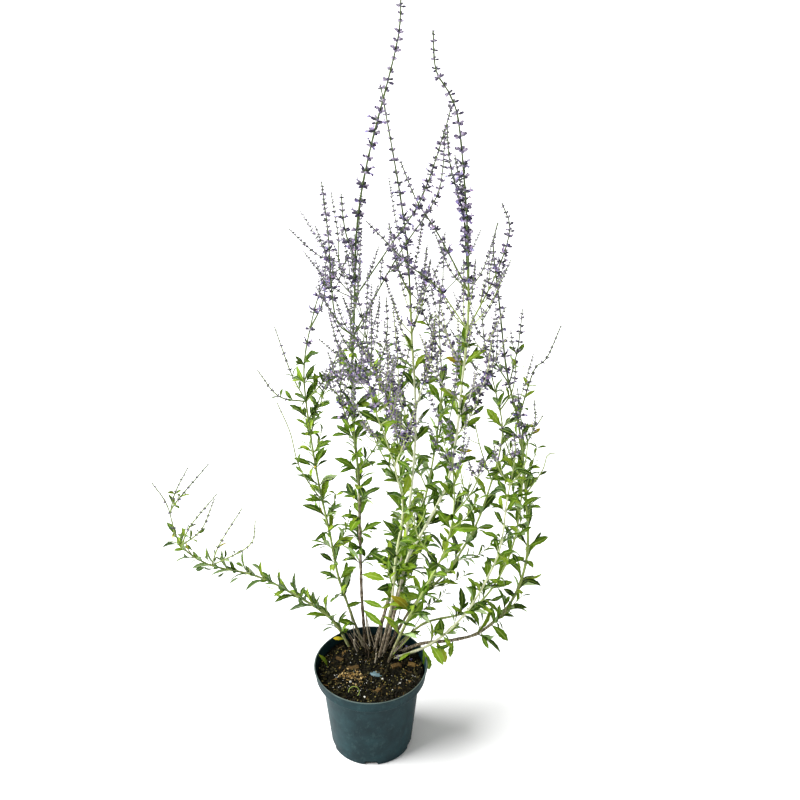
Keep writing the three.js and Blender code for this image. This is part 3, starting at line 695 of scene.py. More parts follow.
def turned(name, outline, segments):
    """A round solid from rings of (radius, height) in millimetres, each pulled out of the last,
    with a flat face across its first and last ring."""
    radius, height = outline[0]
    bpy.ops.mesh.primitive_circle_add(vertices=segments, radius=radius * MM, location=(0, 0, 0))
    piece = current(name)
    edit(piece)
    bpy.ops.transform.translate(value=(0, 0, height * MM))
    bpy.ops.mesh.edge_face_add()
    for next_radius, next_height in outline[1:]:
        bpy.ops.mesh.extrude_region_move(
            TRANSFORM_OT_translate={"value": (0, 0, (next_height - height) * MM)})
        scale = next_radius / radius
        bpy.ops.transform.resize(value=(scale, scale, 1), center_override=(0, 0, next_height * MM))
        radius, height = next_radius, next_height
    bpy.ops.mesh.select_all(action="SELECT")
    bpy.ops.mesh.normals_make_consistent(inside=False)
    end_edit()
    return piece


def arc_points(centre, radius, start, end, count):
    """Points of a round edge in a turned outline, with its angles in degrees."""
    points = []
    for i in range(count + 1):
        angle = math.radians(start + (end - start) * i / count)
        points.append((centre[0] + radius * math.cos(angle), centre[1] + radius * math.sin(angle)))
    return points


def make_pot():
    """Tapered wall, deep collar with a stepped foot, rolled lip and five drain slots."""
    shoulder = POT_HEIGHT - COLLAR_HEIGHT
    foot_edge = 2.2
    outline = [(BASE_RADIUS - 9, 0), (BASE_RADIUS - 8, 0.9), (BASE_RADIUS - 5, 0.9), (BASE_RADIUS - 4, 0)]
    outline += arc_points((BASE_RADIUS - foot_edge, foot_edge), foot_edge, -80, 5, 4)
    outline += [(BODY_TOP_RADIUS - 0.4, shoulder - 4), (BODY_TOP_RADIUS + 0.3, shoulder - 1.2)]
    outline += [(BODY_TOP_RADIUS + 2.2, shoulder - 0.2), (COLLAR_FOOT_RADIUS - 2.4, shoulder + 0.5)]
    outline += arc_points((COLLAR_FOOT_RADIUS - 2, shoulder + 2.6), 2, -70, 5, 4)
    outline += [(RIM_RADIUS - 0.4, POT_HEIGHT - 4), (RIM_RADIUS - 0.2, POT_HEIGHT - 2.8)]
    outline += arc_points((RIM_RADIUS, POT_HEIGHT - 1.5), LIP, -60, 50, 4)
    outline += arc_points((RIM_RADIUS - 0.7, POT_HEIGHT - 0.9), 0.9, 60, 170, 4)
    outline += [(COLLAR_FOOT_RADIUS - WALL, shoulder + WALL + 2)]
    outline += [(COLLAR_FOOT_RADIUS - WALL - 2, shoulder + WALL)]
    outline += [(BODY_TOP_RADIUS - WALL + 1, shoulder + WALL - 0.6), (BODY_TOP_RADIUS - WALL, shoulder - 2)]
    outline += [(BASE_RADIUS - WALL, FLOOR + 1), (BASE_RADIUS - WALL - 1, FLOOR)]
    pot = turned("pot_shell", outline, 160)
    cutters = []
    for i in range(DRAIN_SLOTS):
        bpy.ops.mesh.primitive_cube_add(size=1, location=(0, 0, 0))
        cutter = current("slot_cutter")
        cutter.dimensions = (SLOT["deep"] * MM, SLOT["wide"] * MM, 2 * SLOT["high"] * MM)
        cutter.location = (BASE_RADIUS * MM, 0, 0)
        settle(cutter)
        cutter.data.transform(turning(-90 + 360 * i / DRAIN_SLOTS, "Z"))
        cutters.append(cutter)
    tool = join("slot_cutter", cutters)
    edit(tool)
    bpy.ops.mesh.bevel(offset=2 * MM, segments=3, affect="EDGES")
    end_edit()
    cut = pot.modifiers.new("slots", "BOOLEAN")
    cut.operation = "DIFFERENCE"
    cut.object = tool
    apply_modifiers(pot)
    bpy.data.objects.remove(tool)
    smooth_faces(pot, 35)
    pot.data.materials.append(POT_SKIN)
    hand_over(pot, "pot", "pot")


# The soil and what lies on it

def soil_top(x, y):
    """Height of the soil in millimetres, raised a little round the crown."""
    waves = 1.7 * math.sin(x / 13 + 0.6) * math.cos(y / 11) + 1.1 * math.sin((x + 1.4 * y) / 6)
    from_crown = math.hypot(x - CROWN["x"], y - CROWN["y"]) / CROWN["spread"]
    return SOIL_LEVEL + waves + CROWN["rise"] * math.exp(-from_crown * from_crown)


def make_soil():
    """A solid plug of compost with a lumpy top."""
    outline = [(BASE_RADIUS - WALL - 1.5, FLOOR + 0.4), (BODY_TOP_RADIUS - WALL - 0.8, 126)]
    outline += [(COLLAR_FOOT_RADIUS - WALL - 3.2, 131.4), (SOIL_RADIUS - 0.9, 133)]
    rings = 46
    outline += [((SOIL_RADIUS - 0.9) * (1 - i / rings), SOIL_LEVEL) for i in range(1, rings)]
    soil = turned("soil_plug", outline, 144)
    top = soil.vertex_groups.new(name="top")
    for vertex in soil.data.vertices:
        x, y, z = vertex.co / MM
        if z > SOIL_LEVEL - 0.1:
            vertex.co.z = soil_top(x, y) * MM
            inward = min(1, (SOIL_RADIUS - math.hypot(x, y)) / 4)
            top.add([vertex.index], inward, "REPLACE")
    # Lumps and, on them, smaller lumps: how far across and how high
    for size, height in ((14, 5), (4, 3.5)):
        clumps = bpy.data.textures.new("clumps", "CLOUDS")
        clumps.noise_scale = size * MM
        clumps.noise_depth = 3
        lumps = soil.modifiers.new("lumps", "DISPLACE")
        lumps.texture = clumps
        lumps.vertex_group = "top"
        lumps.direction = "Z"
        lumps.strength = height * MM
        lumps.mid_level = 0.52
    apply_modifiers(soil)
    smooth_faces(soil, 45)
    soil.data.materials.append(COMPOST)
    hand_over(soil, "soil", "soil")


def roughened(name, half_lengths, material, seed, **shifts):
    """The small primitive that was just added, stretched to its half lengths and made uneven."""
    piece = current(name)
    piece.scale = half_lengths
    settle(piece)
    edit(piece)
    bpy.ops.transform.vertex_random(seed=seed, **shifts)
    end_edit()
    piece.data.materials.append(material)
    return piece


def grain_pattern(name, half_lengths, unevenness, seed, material, subdivisions=1):
    """An uneven grain from a faceted ball."""
    bpy.ops.mesh.primitive_ico_sphere_add(subdivisions=subdivisions, radius=MM)
    return roughened(name, half_lengths, material, seed, offset=unevenness * MM, uniform=0.0, normal=0.3)


def shred_pattern(name, half_lengths, seed, material):
    """A torn strip of bark: a block, cut once each way, with its corners moved."""
    bpy.ops.mesh.primitive_cube_add(size=2 * MM)
    edit(bpy.context.active_object)
    bpy.ops.mesh.subdivide(number_cuts=1)
    end_edit()
    unevenness = 0.45 * half_lengths[1]
    return roughened(name, half_lengths, material, seed, offset=unevenness * MM, uniform=0.2, normal=0.2)


def strewn(name, patterns, count, sizes, tones, lift, inside, density=None):
    """Grains strewn over the soil within a radius. lift is how high each stands, as a share of its
    size, and density(x, y) the share of them that stays."""
    grains = []
    while len(grains) < count:
        angle = dice.uniform(0, 2 * math.pi)
        radius = inside * math.sqrt(dice.random())
        x, y = radius * math.cos(angle), radius * math.sin(angle)
        size = dice.uniform(*sizes)
        turn = (Matrix.Rotation(dice.uniform(0, 6.3), 4, "Z") @ Matrix.Rotation(dice.gauss(0, 0.35), 4, "X")
                @ Matrix.Rotation(dice.gauss(0, 0.35), 4, "Y"))
        tone = dice.uniform(*tones)
        pattern = dice.choice(patterns)
        if density and dice.random() > density(x, y):
            continue
        place = Matrix.Translation(Vector((x, y, soil_top(x, y) + lift * size)) * MM)
        grains.append(copied(pattern, place @ turn @ Matrix.Scale(size, 4), tone=tone))
    return join(name, grains)


def near(x0, y0, spread):
    """A density that is full at a place and thins out round it."""
    return lambda x, y: math.exp(-((x - x0) ** 2 + (y - y0) ** 2) / spread ** 2)


def strew_soil():
    """Crumbs, torn bark, a patch of straw and flecks of perlite."""
    clods = [grain_pattern(f"clod_{i}", (1, 0.8, 0.65), 0.4, i, CRUMB) for i in range(5)]
    shreds = [shred_pattern(f"shred_{i}", size, i, BARK)
              for i, size in enumerate(((3.6, 0.8, 0.4), (2.6, 1.1, 0.5), (4.6, 0.55, 0.35)))]
    flecks = [grain_pattern(f"fleck_{i}", (1.4, 0.6, 0.45), 0.3, 20 + i, PERLITE) for i in range(3)]
    straws = [shred_pattern(f"straw_{i}", (1.6, 0.7, 0.4), 40 + i, BARK) for i in range(2)]
    crumbs = [strewn("dark_crumbs", clods, 1000, (0.8, 3.0), (0.1, 0.75), 0.35, 78)]
    crumbs.append(strewn("light_crumbs", clods, 330, (0.5, 1.5), (0.85, 1.3), 0.5, 78))
    hand_over(join("compost_crumbs", crumbs), "soil", "soil")
    chips = [strewn("bark_shreds", shreds, 130, (0.5, 1.1), (0.0, 0.6), 0.5, 74)]
    chips.append(strewn("straw_patch", straws, 150, (0.6, 1.4), (0.55, 1.1), 0.6, 60, near(-30, -12, 14)))
    hand_over(join("bark_shreds", chips), "bark")
    grains = strewn("perlite_grains", flecks, 130, (0.4, 1.0), (0.35, 0.95), 0.6, 76,
                    lambda x, y: 0.25 + near(-26, -6, 34)(x, y))
    hand_over(grains, "perlite")
    for pattern in (*clods, *shreds, *flecks, *straws):
        bpy.data.objects.remove(pattern)


def drop_petals():
    """Spent flowers behind the right-hand stems."""
    flowers = strewn("fallen_flowers", [COROLLA], 16, (0.9, 1.3), (0.5, 1), 1.0, 76, near(54, 44, 13))
    mark(flowers.data, "shade", 0.6)
    hand_over(flowers, "flower")


def make_chips():
    """Bark chips, perlite and a flake of slate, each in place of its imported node."""
    for i, (name, (at, half, turn)) in enumerate(CHIPS.items()):
        slot = "stone" if name == "stone_flake" else name.split("_")[0]
        material = {"stone": SLATE, "bark": BARK, "perlite": PERLITE}[slot]
        if slot == "bark":
            piece = shred_pattern("chip", half, 60 + i, material)
        elif slot == "perlite":
            piece = grain_pattern("chip", [0.85 * size for size in half], 0.45 * min(half), 60 + i, material)
        else:
            piece = grain_pattern("chip", half, 0.3 * min(half), 60 + i, material, 2)
        place = Vector((*at, soil_top(*at) + half[2] * 0.4)) * MM
        piece.data.transform(Matrix.Translation(place) @ turning(turn, "Z"))
        edge = piece.modifiers.new("edge", "BEVEL")
        edge.width = 0.25 * MM
        edge.segments = 1
        apply_modifiers(piece)
        smooth_faces(piece, 30)
        mark(piece.data, "tone", dice.uniform(0.3, 0.65))
        piece.name = name + "_rough"
        hand_over(piece, slot, name)


# Growing

def smooth_route(points, per_span=24):
    """Close-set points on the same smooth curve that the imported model's stems follow."""
    points = [Vector(p) for p in points]
    ends = [points[0] * 2 - points[1], *points, points[-1] * 2 - points[-2]]
    way = []
    for a, b, c, d in zip(ends, ends[1:], ends[2:], ends[3:]):
        for i in range(per_span):
            t = i / per_span
            way.append(0.5 * (2 * b + (c - a) * t + (2 * a - 5 * b + 4 * c - d) * t ** 2
                              + (3 * b - 3 * c + d - a) * t ** 3))
    way.append(points[-1])
    return way


def way_length(way):
    return sum((b - a).length for a, b in zip(way, way[1:]))


def spaced(way, count):
    """count + 1 points at equal steps along the way, each with its direction."""
    lengths = [0]
    for a, b in zip(way, way[1:]):
        lengths.append(lengths[-1] + (b - a).length)
    found = []
    k = 0
    for i in range(count + 1):
        target = lengths[-1] * i / count
        while k < len(way) - 2 and lengths[k + 1] < target:
            k += 1
        span = max(lengths[k + 1] - lengths[k], 1e-9)
        point = way[k].lerp(way[k + 1], min(1, (target - lengths[k]) / span))
        found.append((point, (way[k + 1] - way[k]).normalized()))
    return found


def rooted(points):
    """The route with its root, between upright and the way that the stem leaves the soil."""
    first, second = Vector(points[0]), Vector(points[1])
    direction = ((second - first).normalized() + UP).normalized()
    return [first - direction * ROOT_DEPTH, *points]


def bearings(tangent, turn):
    """Two directions at right angles across a stem, which its leaf pairs use in turn."""
    first = (Vector((1, 0, 0)) - tangent * tangent.x).normalized()
    first = turning(turn, tangent, 3) @ first
    return first, tangent.cross(first)


def standing(foot, way, face, size):
    """The matrix that stands a pattern, grown along +X and facing +Z, at foot in millimetres."""
    way = way.normalized()
    side = face.cross(way).normalized()
    face = way.cross(side)
    turn = Matrix((way, side, face)).transposed().to_4x4()
    return Matrix.Translation(foot * MM) @ turn @ Matrix.Scale(size, 4)


def rods(name, routes, material, sides):
    """One mesh from many tapered rods, each a list of (point, radius) in millimetres."""
    data = bpy.data.curves.new(name, "CURVE")
    data.dimensions = "3D"
    data.bevel_depth = MM
    data.bevel_resolution = sides
    data.use_fill_caps = True
    for route in routes:
        spline = data.splines.new("POLY")
        spline.points.add(len(route) - 1)
        for spot, (point, radius) in zip(spline.points, route):
            spot.co = (*(point * MM), 1)
            spot.radius = radius
    piece = bpy.data.objects.new(name, data)
    bpy.context.collection.objects.link(piece)
    activate(piece)
    bpy.ops.object.convert(target="MESH")
    piece = current(name)
    edit(piece)
    bpy.ops.mesh.remove_doubles(threshold=0.01 * MM)
    bpy.ops.mesh.normals_make_consistent(inside=False)
    end_edit()
    smooth_faces(piece, 60)
    piece.data.materials.append(material)
    return piece


def tapered(way, start, end, step, knot=0):
    """A rod along the way from one radius to the other, swollen at every knot-th point."""
    count = max(3, round(way_length(way) / step))
    if knot:
        count = knot * max(1, round(count / knot))
    rod = []
    for i, (point, _) in enumerate(spaced(way, count)):
        swelling = 1.22 if knot and i % knot == 0 else 1
        rod.append((point, (start + (end - start) * i / count) * swelling))
    return rod


# Patterns: leaves, calyces, corollas and whorls, each copied many times

def leaf_pattern(name, length, width, rows, fold, drop, sway=0.0, twist=0, teeth=0.0):
    """A leaf blade along +X, in so many rows, from a narrow foot to a blunt tip, widest past its
    middle. fold lifts its margins, as a share of the width. drop and sway, shares of the length,
    lower its tip and turn it aside. twist is in degrees, and teeth is how far every other row
    stands out."""
    bpy.ops.mesh.primitive_grid_add(x_subdivisions=rows, y_subdivisions=2, size=1, calc_uvs=True)
    leaf = current(name)
    edit(leaf)
    bpy.ops.transform.translate(value=(0.5, 0, 0))
    bpy.ops.transform.resize(value=(length * MM, width * MM, 1), center_override=(0, 0, 0))
    pick(leaf, lambda x, y, z: abs(y) > 0.3 * width * MM)
    bpy.ops.transform.translate(value=(0, 0, fold * width * MM))
    foot = 0.14
    for row in range(rows + 1):
        u = row / rows
        place = u * length * MM
        grown = max(0, (u - 0.1) / 0.9)
        spread = foot + (1 - foot) * max(0, math.sin(math.pi * grown ** 1.25)) ** 0.85
        if 1 < row < rows:
            spread *= 1 + (teeth if row % 2 == 0 else -teeth)
        pick(leaf, lambda x, y, z: abs(x - place) < 0.3 * length * MM / rows)
        bpy.ops.transform.resize(value=(1, spread, spread), center_override=(place, 0, 0))
        bpy.ops.transform.rotate(value=math.radians(twist * u), orient_axis="X",
                                 center_override=(place, 0, 0))
        rise = 0.06 * math.sin(math.pi * u) - drop * u * u
        bpy.ops.transform.translate(value=(0, sway * length * MM * u * u, rise * length * MM))
    end_edit()
    leaf.data.materials.append(LEAF_TOP)
    leaf.data.materials.append(LEAF_UNDER)
    thick = leaf.modifiers.new("thick", "SOLIDIFY")
    thick.thickness = 0.35 * MM
    thick.offset = -1
    thick.material_offset = 1
    apply_modifiers(leaf)
    smooth_faces(leaf, 60)
    leaf["length"] = length
    return leaf


def calyx_pattern(name, outline, sides):
    """A bell along +X, marked from 0 at its foot to 1 at its mouth."""
    calyx = turned(name, outline, sides)
    calyx.data.transform(turning(90, "Y"))
    layer = calyx.data.attributes.new("tip", "FLOAT", "POINT")
    length = outline[-1][1] * MM
    layer.data.foreach_set("value", [v.co.x / length for v in calyx.data.vertices])
    smooth_faces(calyx, 70)
    calyx.data.materials.append(CALYX_FELT)
    return calyx


def corolla_pattern():
    """A two-lipped flower: a short tube out of the calyx, four lobes up and a lip down, each given by
    its way round the tube, its tilt and its half length."""
    mouth = 6.8
    tube = turned("tube", [(0.5, 4.4), (0.9, 7.0)], 5)
    tube.data.transform(turning(90, "Y"))
    tube.data.materials.append(PETAL)
    lobes = [tube]
    for way, tilt, long in ((-62, 50, 1.5), (-20, 40, 1.6), (20, 40, 1.6), (62, 50, 1.5), (180, 62, 2.2)):
        bpy.ops.mesh.primitive_ico_sphere_add(subdivisions=1, radius=MM)
        lobe = current("lobe")
        lobe.scale = (long, 0.95, 0.28)
        settle(lobe)
        lobe.data.transform(Matrix.Translation((mouth * MM, 0, 0)) @ turning(way, "X")
                            @ turning(-tilt, "Y") @ Matrix.Translation((long * 0.9 * MM, 0, 0)))
        lobe.data.materials.append(PETAL)
        lobes.append(lobe)
    return join("corolla", lobes)


def whorl_pattern(name, per_side, open_flowers, calyx, tilts, pale=0.0):
    """Two opposite tufts of calyces round a stem along +X, some of them in flower. tilts is how far
    they stand off the stem, in degrees, and pale how pale the darkest is."""
    parts = []
    flowering = dice.sample(range(2 * per_side), open_flowers)
    for i in range(2 * per_side):
        half, spot = divmod(i, per_side)
        round_stem = half * 180 + (spot - (per_side - 1) / 2) * 48 + dice.uniform(-12, 12)
        tilt = dice.uniform(*tilts)
        place = (turning(round_stem, "X") @ Matrix.Translation((dice.uniform(-1.6, 1.6) * MM, 0, MM))
                 @ turning(-tilt, "Y") @ Matrix.Scale(dice.uniform(0.85, 1.15), 4))
        for pattern in [calyx] + ([COROLLA] if i in flowering else []):
            parts.append(copied(pattern, place, shade=dice.uniform(pale, 1)))
    return join(name, parts)


LEAVES = [
    leaf_pattern("leaf_long", 35, 8.6, 10, 0.14, 0.12, sway=0.05, teeth=0.08),
    leaf_pattern("leaf_broad", 32, 10.5, 10, 0.1, 0.16, sway=-0.06, teeth=0.09),
    leaf_pattern("leaf_turned", 33, 9, 10, 0.16, 0.2, sway=0.1, twist=35, teeth=0.08),
    leaf_pattern("leaf_folded", 33, 9, 10, 0.3, 0.06, sway=-0.1, twist=-25, teeth=0.07),
]
SMALL_LEAVES = [
    leaf_pattern("small_leaf", 14, 4.4, 5, 0.15, 0.1),
    leaf_pattern("small_leaf_turned", 13, 4, 5, 0.25, 0.2, sway=0.15, twist=30),
]
# Outlines of a calyx and a bud: radius, and distance from the foot
CALYX = calyx_pattern("calyx", [(0.5, 0), (1.45, 2.4), (1.2, 5.4)], 5)
BUD = calyx_pattern("bud", [(0.5, 0), (1.6, 2.0), (0.8, 4.2)], 3)
COROLLA = corolla_pattern()
# How far calyces stand off the stem in degrees, in flower and in bud
SPREAD, UPRIGHT = (35, 105), (20, 65)
OPEN_WHORLS = [whorl_pattern(f"open_whorl_{i}", 4, 1 + i, CALYX, SPREAD) for i in range(3)]
SHUT_WHORLS = [whorl_pattern(f"shut_whorl_{i}", 4 - i, 0, CALYX, SPREAD) for i in range(2)]
BUD_WHORLS = [whorl_pattern(f"bud_whorl_{i}", 3 - i, 0, BUD, UPRIGHT, 0.45) for i in range(2)]
BUD_WHORLS_OPEN = [whorl_pattern("bud_whorl_open", 2, 1, BUD, UPRIGHT, 0.45)]


def has_room(point):
    """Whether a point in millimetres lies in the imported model's box, give or take a stem."""
    return all(low / MM - 3 < value < high / MM + 3 for value, low, high in zip(point, *cad_box))


def add_leaf(foot, tangent, side, length, lean, leaves):
    """Adds a leaf that leaves the stem towards side, lean degrees off the stem's own way. On a
    stem that lies low it turns up to the light."""
    pattern = dice.choice(SMALL_LEAVES if length < 16 else LEAVES)
    off = math.radians(lean + dice.gauss(0, 9))
    way = tangent * math.cos(off) + side * math.sin(off)
    way = (way + UP * 0.65 * (1 - abs(tangent.z))).normalized()
    face = (tangent - way * tangent.dot(way)).normalized()
    face = turning(dice.gauss(0, 25), way, 3) @ face
    age = dice.uniform(0.5, 1) if dice.random() < YELLOWING else 0
    size = length / pattern["length"] * dice.uniform(0.82, 1.12)
    leaves.append(copied(pattern, standing(foot, way, face, size), tone=dice.random(), age=age))


def add_tuft(point, tangent, side, length, count, leaves, twigs):
    """The short shoot in a leaf's axil, with small leaves round its own stem."""
    axis = (tangent * 0.8 + side * 0.6).normalized()
    across = (side - axis * side.dot(axis)).normalized()
    reach = axis * length * dice.uniform(0.2, 0.45)
    twigs.append([(point, 0.7), (point + reach, 0.5)])
    for k in range(count):
        swing = turning(dice.uniform(-120, 120), axis, 3) @ across
        spot = point + reach * (k + 1) / count
        add_leaf(spot, axis, swing, length * dice.uniform(0.42, 0.78), 40, leaves)


def add_pair(point, tangent, side, length, lean, tuft, leaves, twigs):
    """A leaf pair, with tuft small leaves in each of its axils."""
    for sign in (-1, 1):
        add_leaf(point, tangent, side * sign, length, lean, leaves)
        if tuft:
            add_tuft(point, tangent, side * sign, length, tuft, leaves, twigs)


def twig_route(point, tangent, side, length):
    """A side shoot that leaves its node aslant and curves up."""
    lean = math.radians(dice.uniform(24, 44))
    out = tangent * math.cos(lean) + side * math.sin(lean)
    up = (out + tangent * 0.5 + UP * 0.3).normalized()
    middle = point + out * length * 0.4
    return smooth_route([point, middle, middle + up * length * 0.6], 8)


def add_leafy_shoot(point, tangent, side, length, leaves, twigs):
    """A leafy side shoot with pairs of its own."""
    way = twig_route(point, tangent, side, length)
    if not has_room(way[-1]):
        return
    twigs.append(tapered(way, 0.95, 0.55, 10))
    stops = spaced(way, max(2, round(length / 13)))
    for k, (spot, ahead) in enumerate(stops[1:], start=1):
        size = dice.uniform(16, 23) * (1.1 - 0.5 * k / len(stops))
        add_pair(spot, ahead, bearings(ahead, 90 * (k % 2))[0], size, SIDE_LEAN, 0, leaves, twigs)


# The whorls that the lower and the upper part of a spike choose from
STEM_WHORLS = (OPEN_WHORLS + SHUT_WHORLS, SHUT_WHORLS + BUD_WHORLS)
TWIG_WHORLS = (BUD_WHORLS + BUD_WHORLS_OPEN, BUD_WHORLS[1:])


def add_spike(way, kind, start, bloom, turn, flowers, fine_tip=FINE_TIP):
    """Flower whorls along a way from start to its tip, closer and smaller towards it."""
    early, late = TWIG_WHORLS if kind == "twig" else STEM_WHORLS
    size = SPIKES[kind]["size"] * bloom
    length = way_length(way)
    fine = spaced(way, max(4, int(length / 2)))
    at = start * length
    k = 0
    while at < length:
        ripe = (at / length - start) / (1 - start)
        point, tangent = fine[round(at / length * (len(fine) - 1))]
        bearing = bearings(tangent, turn + 90 * (k % 2) + dice.uniform(-20, 20))[0]
        pattern = dice.choice(early if ripe < 0.6 else late)
        scale = size * (1 - 0.25 * ripe - fine_tip * max(0, ripe - 0.75)) * dice.uniform(0.88, 1.1)
        if point.z > BUD_HEIGHT or point.x < LOW_SHOOT_X:
            flowers.append(copied(pattern, standing(point, tangent, bearing, scale)))
        at += SPIKES[kind]["gap"] * (1 - 0.66 * ripe) * dice.uniform(0.88, 1.12)
        k += 1
    point, tangent = fine[-1]
    bud = standing(point, tangent, bearings(tangent, turn)[0], 0.35 * size)
    flowers.append(copied(BUD_WHORLS[1], bud))


def add_twigs(point, tangent, side, bearer, twigs, flowers):
    """Up to two flowering twigs on opposite sides of a main stem or a branch, their bearer."""
    kind = TWIGS[bearer]
    for sign in (-1, 1):
        twig = twig_route(point, tangent, side * sign, dice.uniform(*kind["lengths"]))
        if dice.random() < kind["chance"] and has_room(twig[-1]):
            twigs.append(tapered(twig, kind["radius"], 0.6 * kind["radius"], 9))
            add_spike(twig, "twig", SPIKE_START, 1, dice.uniform(0, 90), flowers)


def add_low_leaves(name, way, leaves):
    """The large leaves of this shoot that are placed one by one."""
    for height, tip, age in LOW_LEAVES.get(name, []):
        foot = min(way, key=lambda point: abs(point.z - height))
        reach = Vector(tip) - foot
        face = (UP - reach.normalized() * 0.4 + Vector((-0.3, -0.5, 0))).normalized()
        pattern = dice.choice(LEAVES[:2])
        place = standing(foot, reach, face, reach.length / pattern["length"])
        leaves.append(copied(pattern, place, tone=dice.uniform(0.5, 0.9), age=age))


def grow_branch(points, nodes, bloom, leaves, twigs, flowers):
    """A side branch from the stem's node nearest to its first point: some leaves, then flowers."""
    start = min(nodes, key=lambda point: (point - Vector(points[0])).length)
    if not CROWN_SIDES[0] < points[-1][0] < CROWN_SIDES[1]:
        bloom = min(bloom, SLIGHT_BLOOM)
    branch = smooth_route([start, *points[1:]])
    stops = spaced(branch, max(3, round(way_length(branch) / BRANCH_SPACING)))
    for j, (point, tangent) in enumerate(stops[1:-1], start=1):
        v = j / (len(stops) - 1)
        side = bearings(tangent, 90 * (j % 2) + 30)[0]
        if v < 0.42 and point.z < LEAFY_HEIGHT:
            length = (BRANCH_LEAF_LENGTH - BRANCH_LEAF_SHORTENING * v) * min(1, bloom + 0.2)
            tuft = 1 if bloom > SLIGHT_BLOOM else 0
            add_pair(point, tangent, side, length, SIDE_LEAN, tuft, leaves, twigs)
        if 0.2 < v < 0.7 and bloom > TWIGS["branch"]["bloom"] and point.z < TWIGGY_HEIGHT:
            add_twigs(point, tangent, side, "branch", twigs, flowers)
    add_spike(branch, "branch", SPIKE_START, bloom, dice.uniform(0, 90), flowers)
    return tapered(branch, 1.2, 0.75, 11)


def grow(name, shoot):
    """One shoot: its woody foot and felted stems, its leaves and its flowers."""
    way = smooth_route(rooted(shoot["route"]))
    steps = shoot.get("steps", 2)
    bloom = shoot.get("bloom", 1)
    pairs = steps * round(way_length(way) / NODE_SPACING)
    nodes = spaced(way, pairs)
    first, last = shoot["leaves"]
    leaves, flowers, twigs = [], [], []
    for i, (point, tangent) in enumerate(nodes):
        u = i / pairs
        side = bearings(tangent, shoot["turn"] + dice.uniform(-14, 14))[i % 2]
        done = (u - first) / (last - first)
        if 0 <= done <= 1:
            length = (LEAF_LENGTH - LEAF_SHORTENING * done) * shoot.get("leaf_size", 1)
            lean = LEAF_LEAN - LEAF_STEEPENING * done
            add_pair(point, tangent, side, length, lean, shoot.get("tuft", 2), leaves, twigs)
            if steps == 2 and done < 0.8 and dice.random() < LEAFY_SHOOT_CHANCE:
                add_leafy_shoot(point, tangent, -side, dice.uniform(*LEAFY_SHOOT_LENGTHS), leaves, twigs)
        if last - 0.14 < u and bloom > TWIGS["main"]["bloom"] and point.z < TWIGGY_HEIGHT:
            add_twigs(point, tangent, side, "main", twigs, flowers)
    add_low_leaves(name, way, leaves)
    add_spike(way, "main", shoot.get("flowers", last + 0.02), bloom, shoot["turn"], flowers,
              shoot.get("fine_tip", FINE_TIP))
    starts = [point for point, _ in nodes[::steps]]
    branches = [grow_branch(points, starts, bloom, leaves, twigs, flowers) for points in shoot["branches"]]
    main = tapered(way, shoot["radius"], 0.32 * shoot["radius"], way_length(way) / pairs / 3, 3)
    stem = join(name + "_stem", [rods("main", [main], STEM_SKIN, 2), rods("branches", branches, STEM_SKIN, 1),
                                 rods("twigs", twigs, STEM_SKIN, 0)])
    # Bark gives way to young stem over 120 mm of height, and felt thins over 200 mm
    heights = [v.co.z / MM for v in stem.data.vertices]
    leafy = spaced(way, 100)[round(100 * last)][0].z
    bark = [min(1, max(0, (shoot["wood"] - z) / 120 + 0.5)) for z in heights]
    felt = [shoot["felt"] * min(1, max(0, (leafy - z) / 200 + 0.6)) for z in heights]
    stem.data.attributes.new("wood", "FLOAT", "POINT").data.foreach_set("value", bark)
    stem.data.attributes.new("felt", "FLOAT", "POINT").data.foreach_set("value", felt)
    hand_over(stem, "stem", name)
    hand_over(join(name + "_leaves", leaves), "leaf", name)
    hand_over(join(name + "_flowers", flowers), "flower", name)


# Dry stalks, the fallen leaf and the curled stem

def bowed(foot, tip, depth, bows):
    """The route of a stalk from this depth below its foot, its middle pushed aside a little."""
    way = (tip - foot).normalized()
    bow = bearings(way, dice.uniform(0, 360))[0] * dice.uniform(*bows)
    return smooth_route([foot - way * depth, foot, foot.lerp(tip, 0.5) + bow, tip])


def make_dry_stalks():
    """Last year's cut stalks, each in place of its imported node."""
    for i, (foot, tip, radius) in enumerate(DRY_STALKS, start=1):
        route = bowed(Vector(foot), Vector(tip), ROOT_DEPTH, (0.8, 2))
        name = f"dry_stalk_{i}"
        skin = WITHERED if i == GREEN_STALK else DRY_WOOD
        piece = rods(name + "_bark", [tapered(route, radius, radius * 0.6, 5, 4)], skin, 2)
        mark(piece.data, "tone", dice.uniform(0.35, 0.9))
        hand_over(piece, "dry_stalk", name)


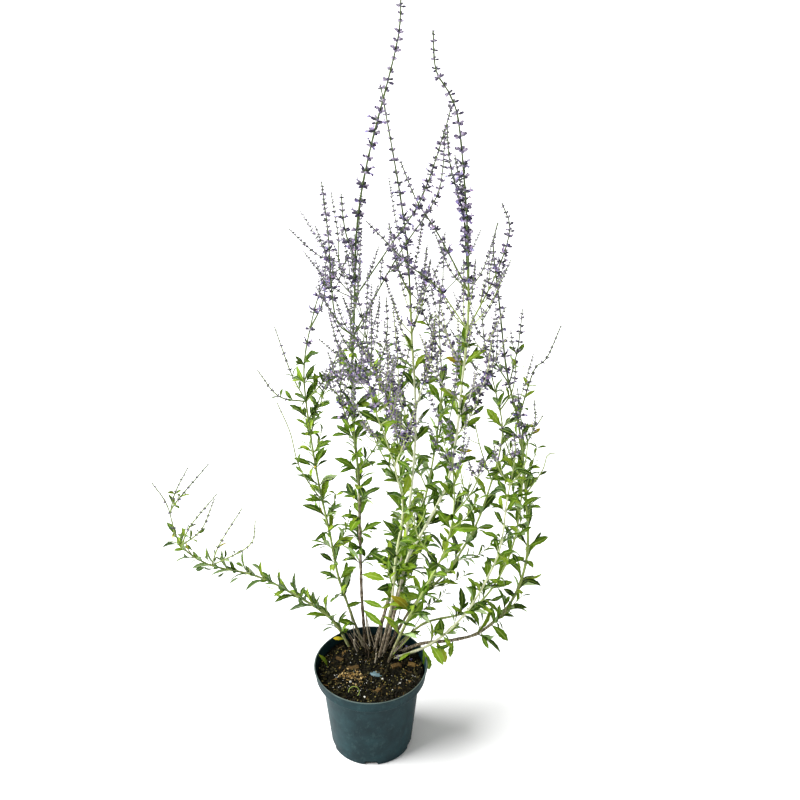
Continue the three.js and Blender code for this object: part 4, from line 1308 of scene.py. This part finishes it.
def make_stubs():
    """Thin ends of last year's twigs, which stand close round the crown."""
    stubs = []
    for _ in range(STUBS):
        turn, out = dice.uniform(0, 2 * math.pi), dice.uniform(4, 30)
        x, y = CROWN["x"] + 5 + out * math.cos(turn), CROWN["y"] - 14 + 0.75 * out * math.sin(turn)
        foot = Vector((x, y, soil_top(x, y)))
        lean = Vector((0.55 * math.cos(turn), 0.55 * math.sin(turn), 1)).normalized()
        tip = foot + lean * dice.uniform(18, 60)
        radius = dice.uniform(0.45, 0.85)
        stubs.append(tapered(bowed(foot, tip, 8, (0.5, 2)), radius, 0.7 * radius, 6, 3))
    piece = rods("thin_stubs", stubs, DRY_WOOD, 1)
    mark(piece.data, "tone", 0.7)
    hand_over(piece, "dry_stalk")


def make_fallen_leaf():
    """The leaf that stands between the soil and the wall."""
    foot, tip = Vector(FALLEN_LEAF["foot"]), Vector(FALLEN_LEAF["tip"])
    way = tip - foot
    place = standing(foot, way, Vector((1, -0.3, 0.3)), way.length / LEAVES[0]["length"])
    leaf = copied(LEAVES[0], place, tone=0.75, age=0.1)
    leaf.name = "fallen_leaf_blade"
    hand_over(leaf, "leaf", "fallen_leaf")


def make_tendril():
    """A thin cut stem that lies curled on the soil."""
    radius = TENDRIL["radius"]
    x, y = TENDRIL["at"]
    centre = Vector((x, y, soil_top(x, y) + TENDRIL["lift"]))
    points = []
    steps = 28
    for i in range(steps + 1):
        share = i / steps
        angle = TENDRIL["start"] + TENDRIL["arc"] * share
        flat = Vector((radius * math.cos(angle), radius * math.sin(angle), TENDRIL["rise"] * share))
        thickness = TENDRIL["thickness"] * (1 - 0.4 * share)
        points.append((centre + turning(TENDRIL["lean"], "X", 3) @ flat, thickness))
    curl = rods("dry_tendril_curl", [points], WITHERED, 2)
    mark(curl.data, "tone", 0.6)
    hand_over(curl, "dry_stalk", "dry_tendril")


def lay_paper():
    """The floor of the studio, which is no part of the object."""
    bpy.ops.mesh.primitive_plane_add(size=FLOOR_SIZE, location=(0, 0, 0))
    floor = current("studio_floor")
    floor.data.materials.append(white_paper())


aim_camera()
light_studio()
make_pot()
make_soil()
strew_soil()
drop_petals()
make_chips()
make_dry_stalks()
make_stubs()
make_fallen_leaf()
make_tendril()
for shoot_name, shoot_facts in SHOOTS.items():
    grow(shoot_name, shoot_facts)
for used in (*LEAVES, *SMALL_LEAVES, CALYX, BUD, COROLLA, *OPEN_WHORLS, *SHUT_WHORLS, *BUD_WHORLS,
             *BUD_WHORLS_OPEN):
    bpy.data.objects.remove(used)
lay_paper()
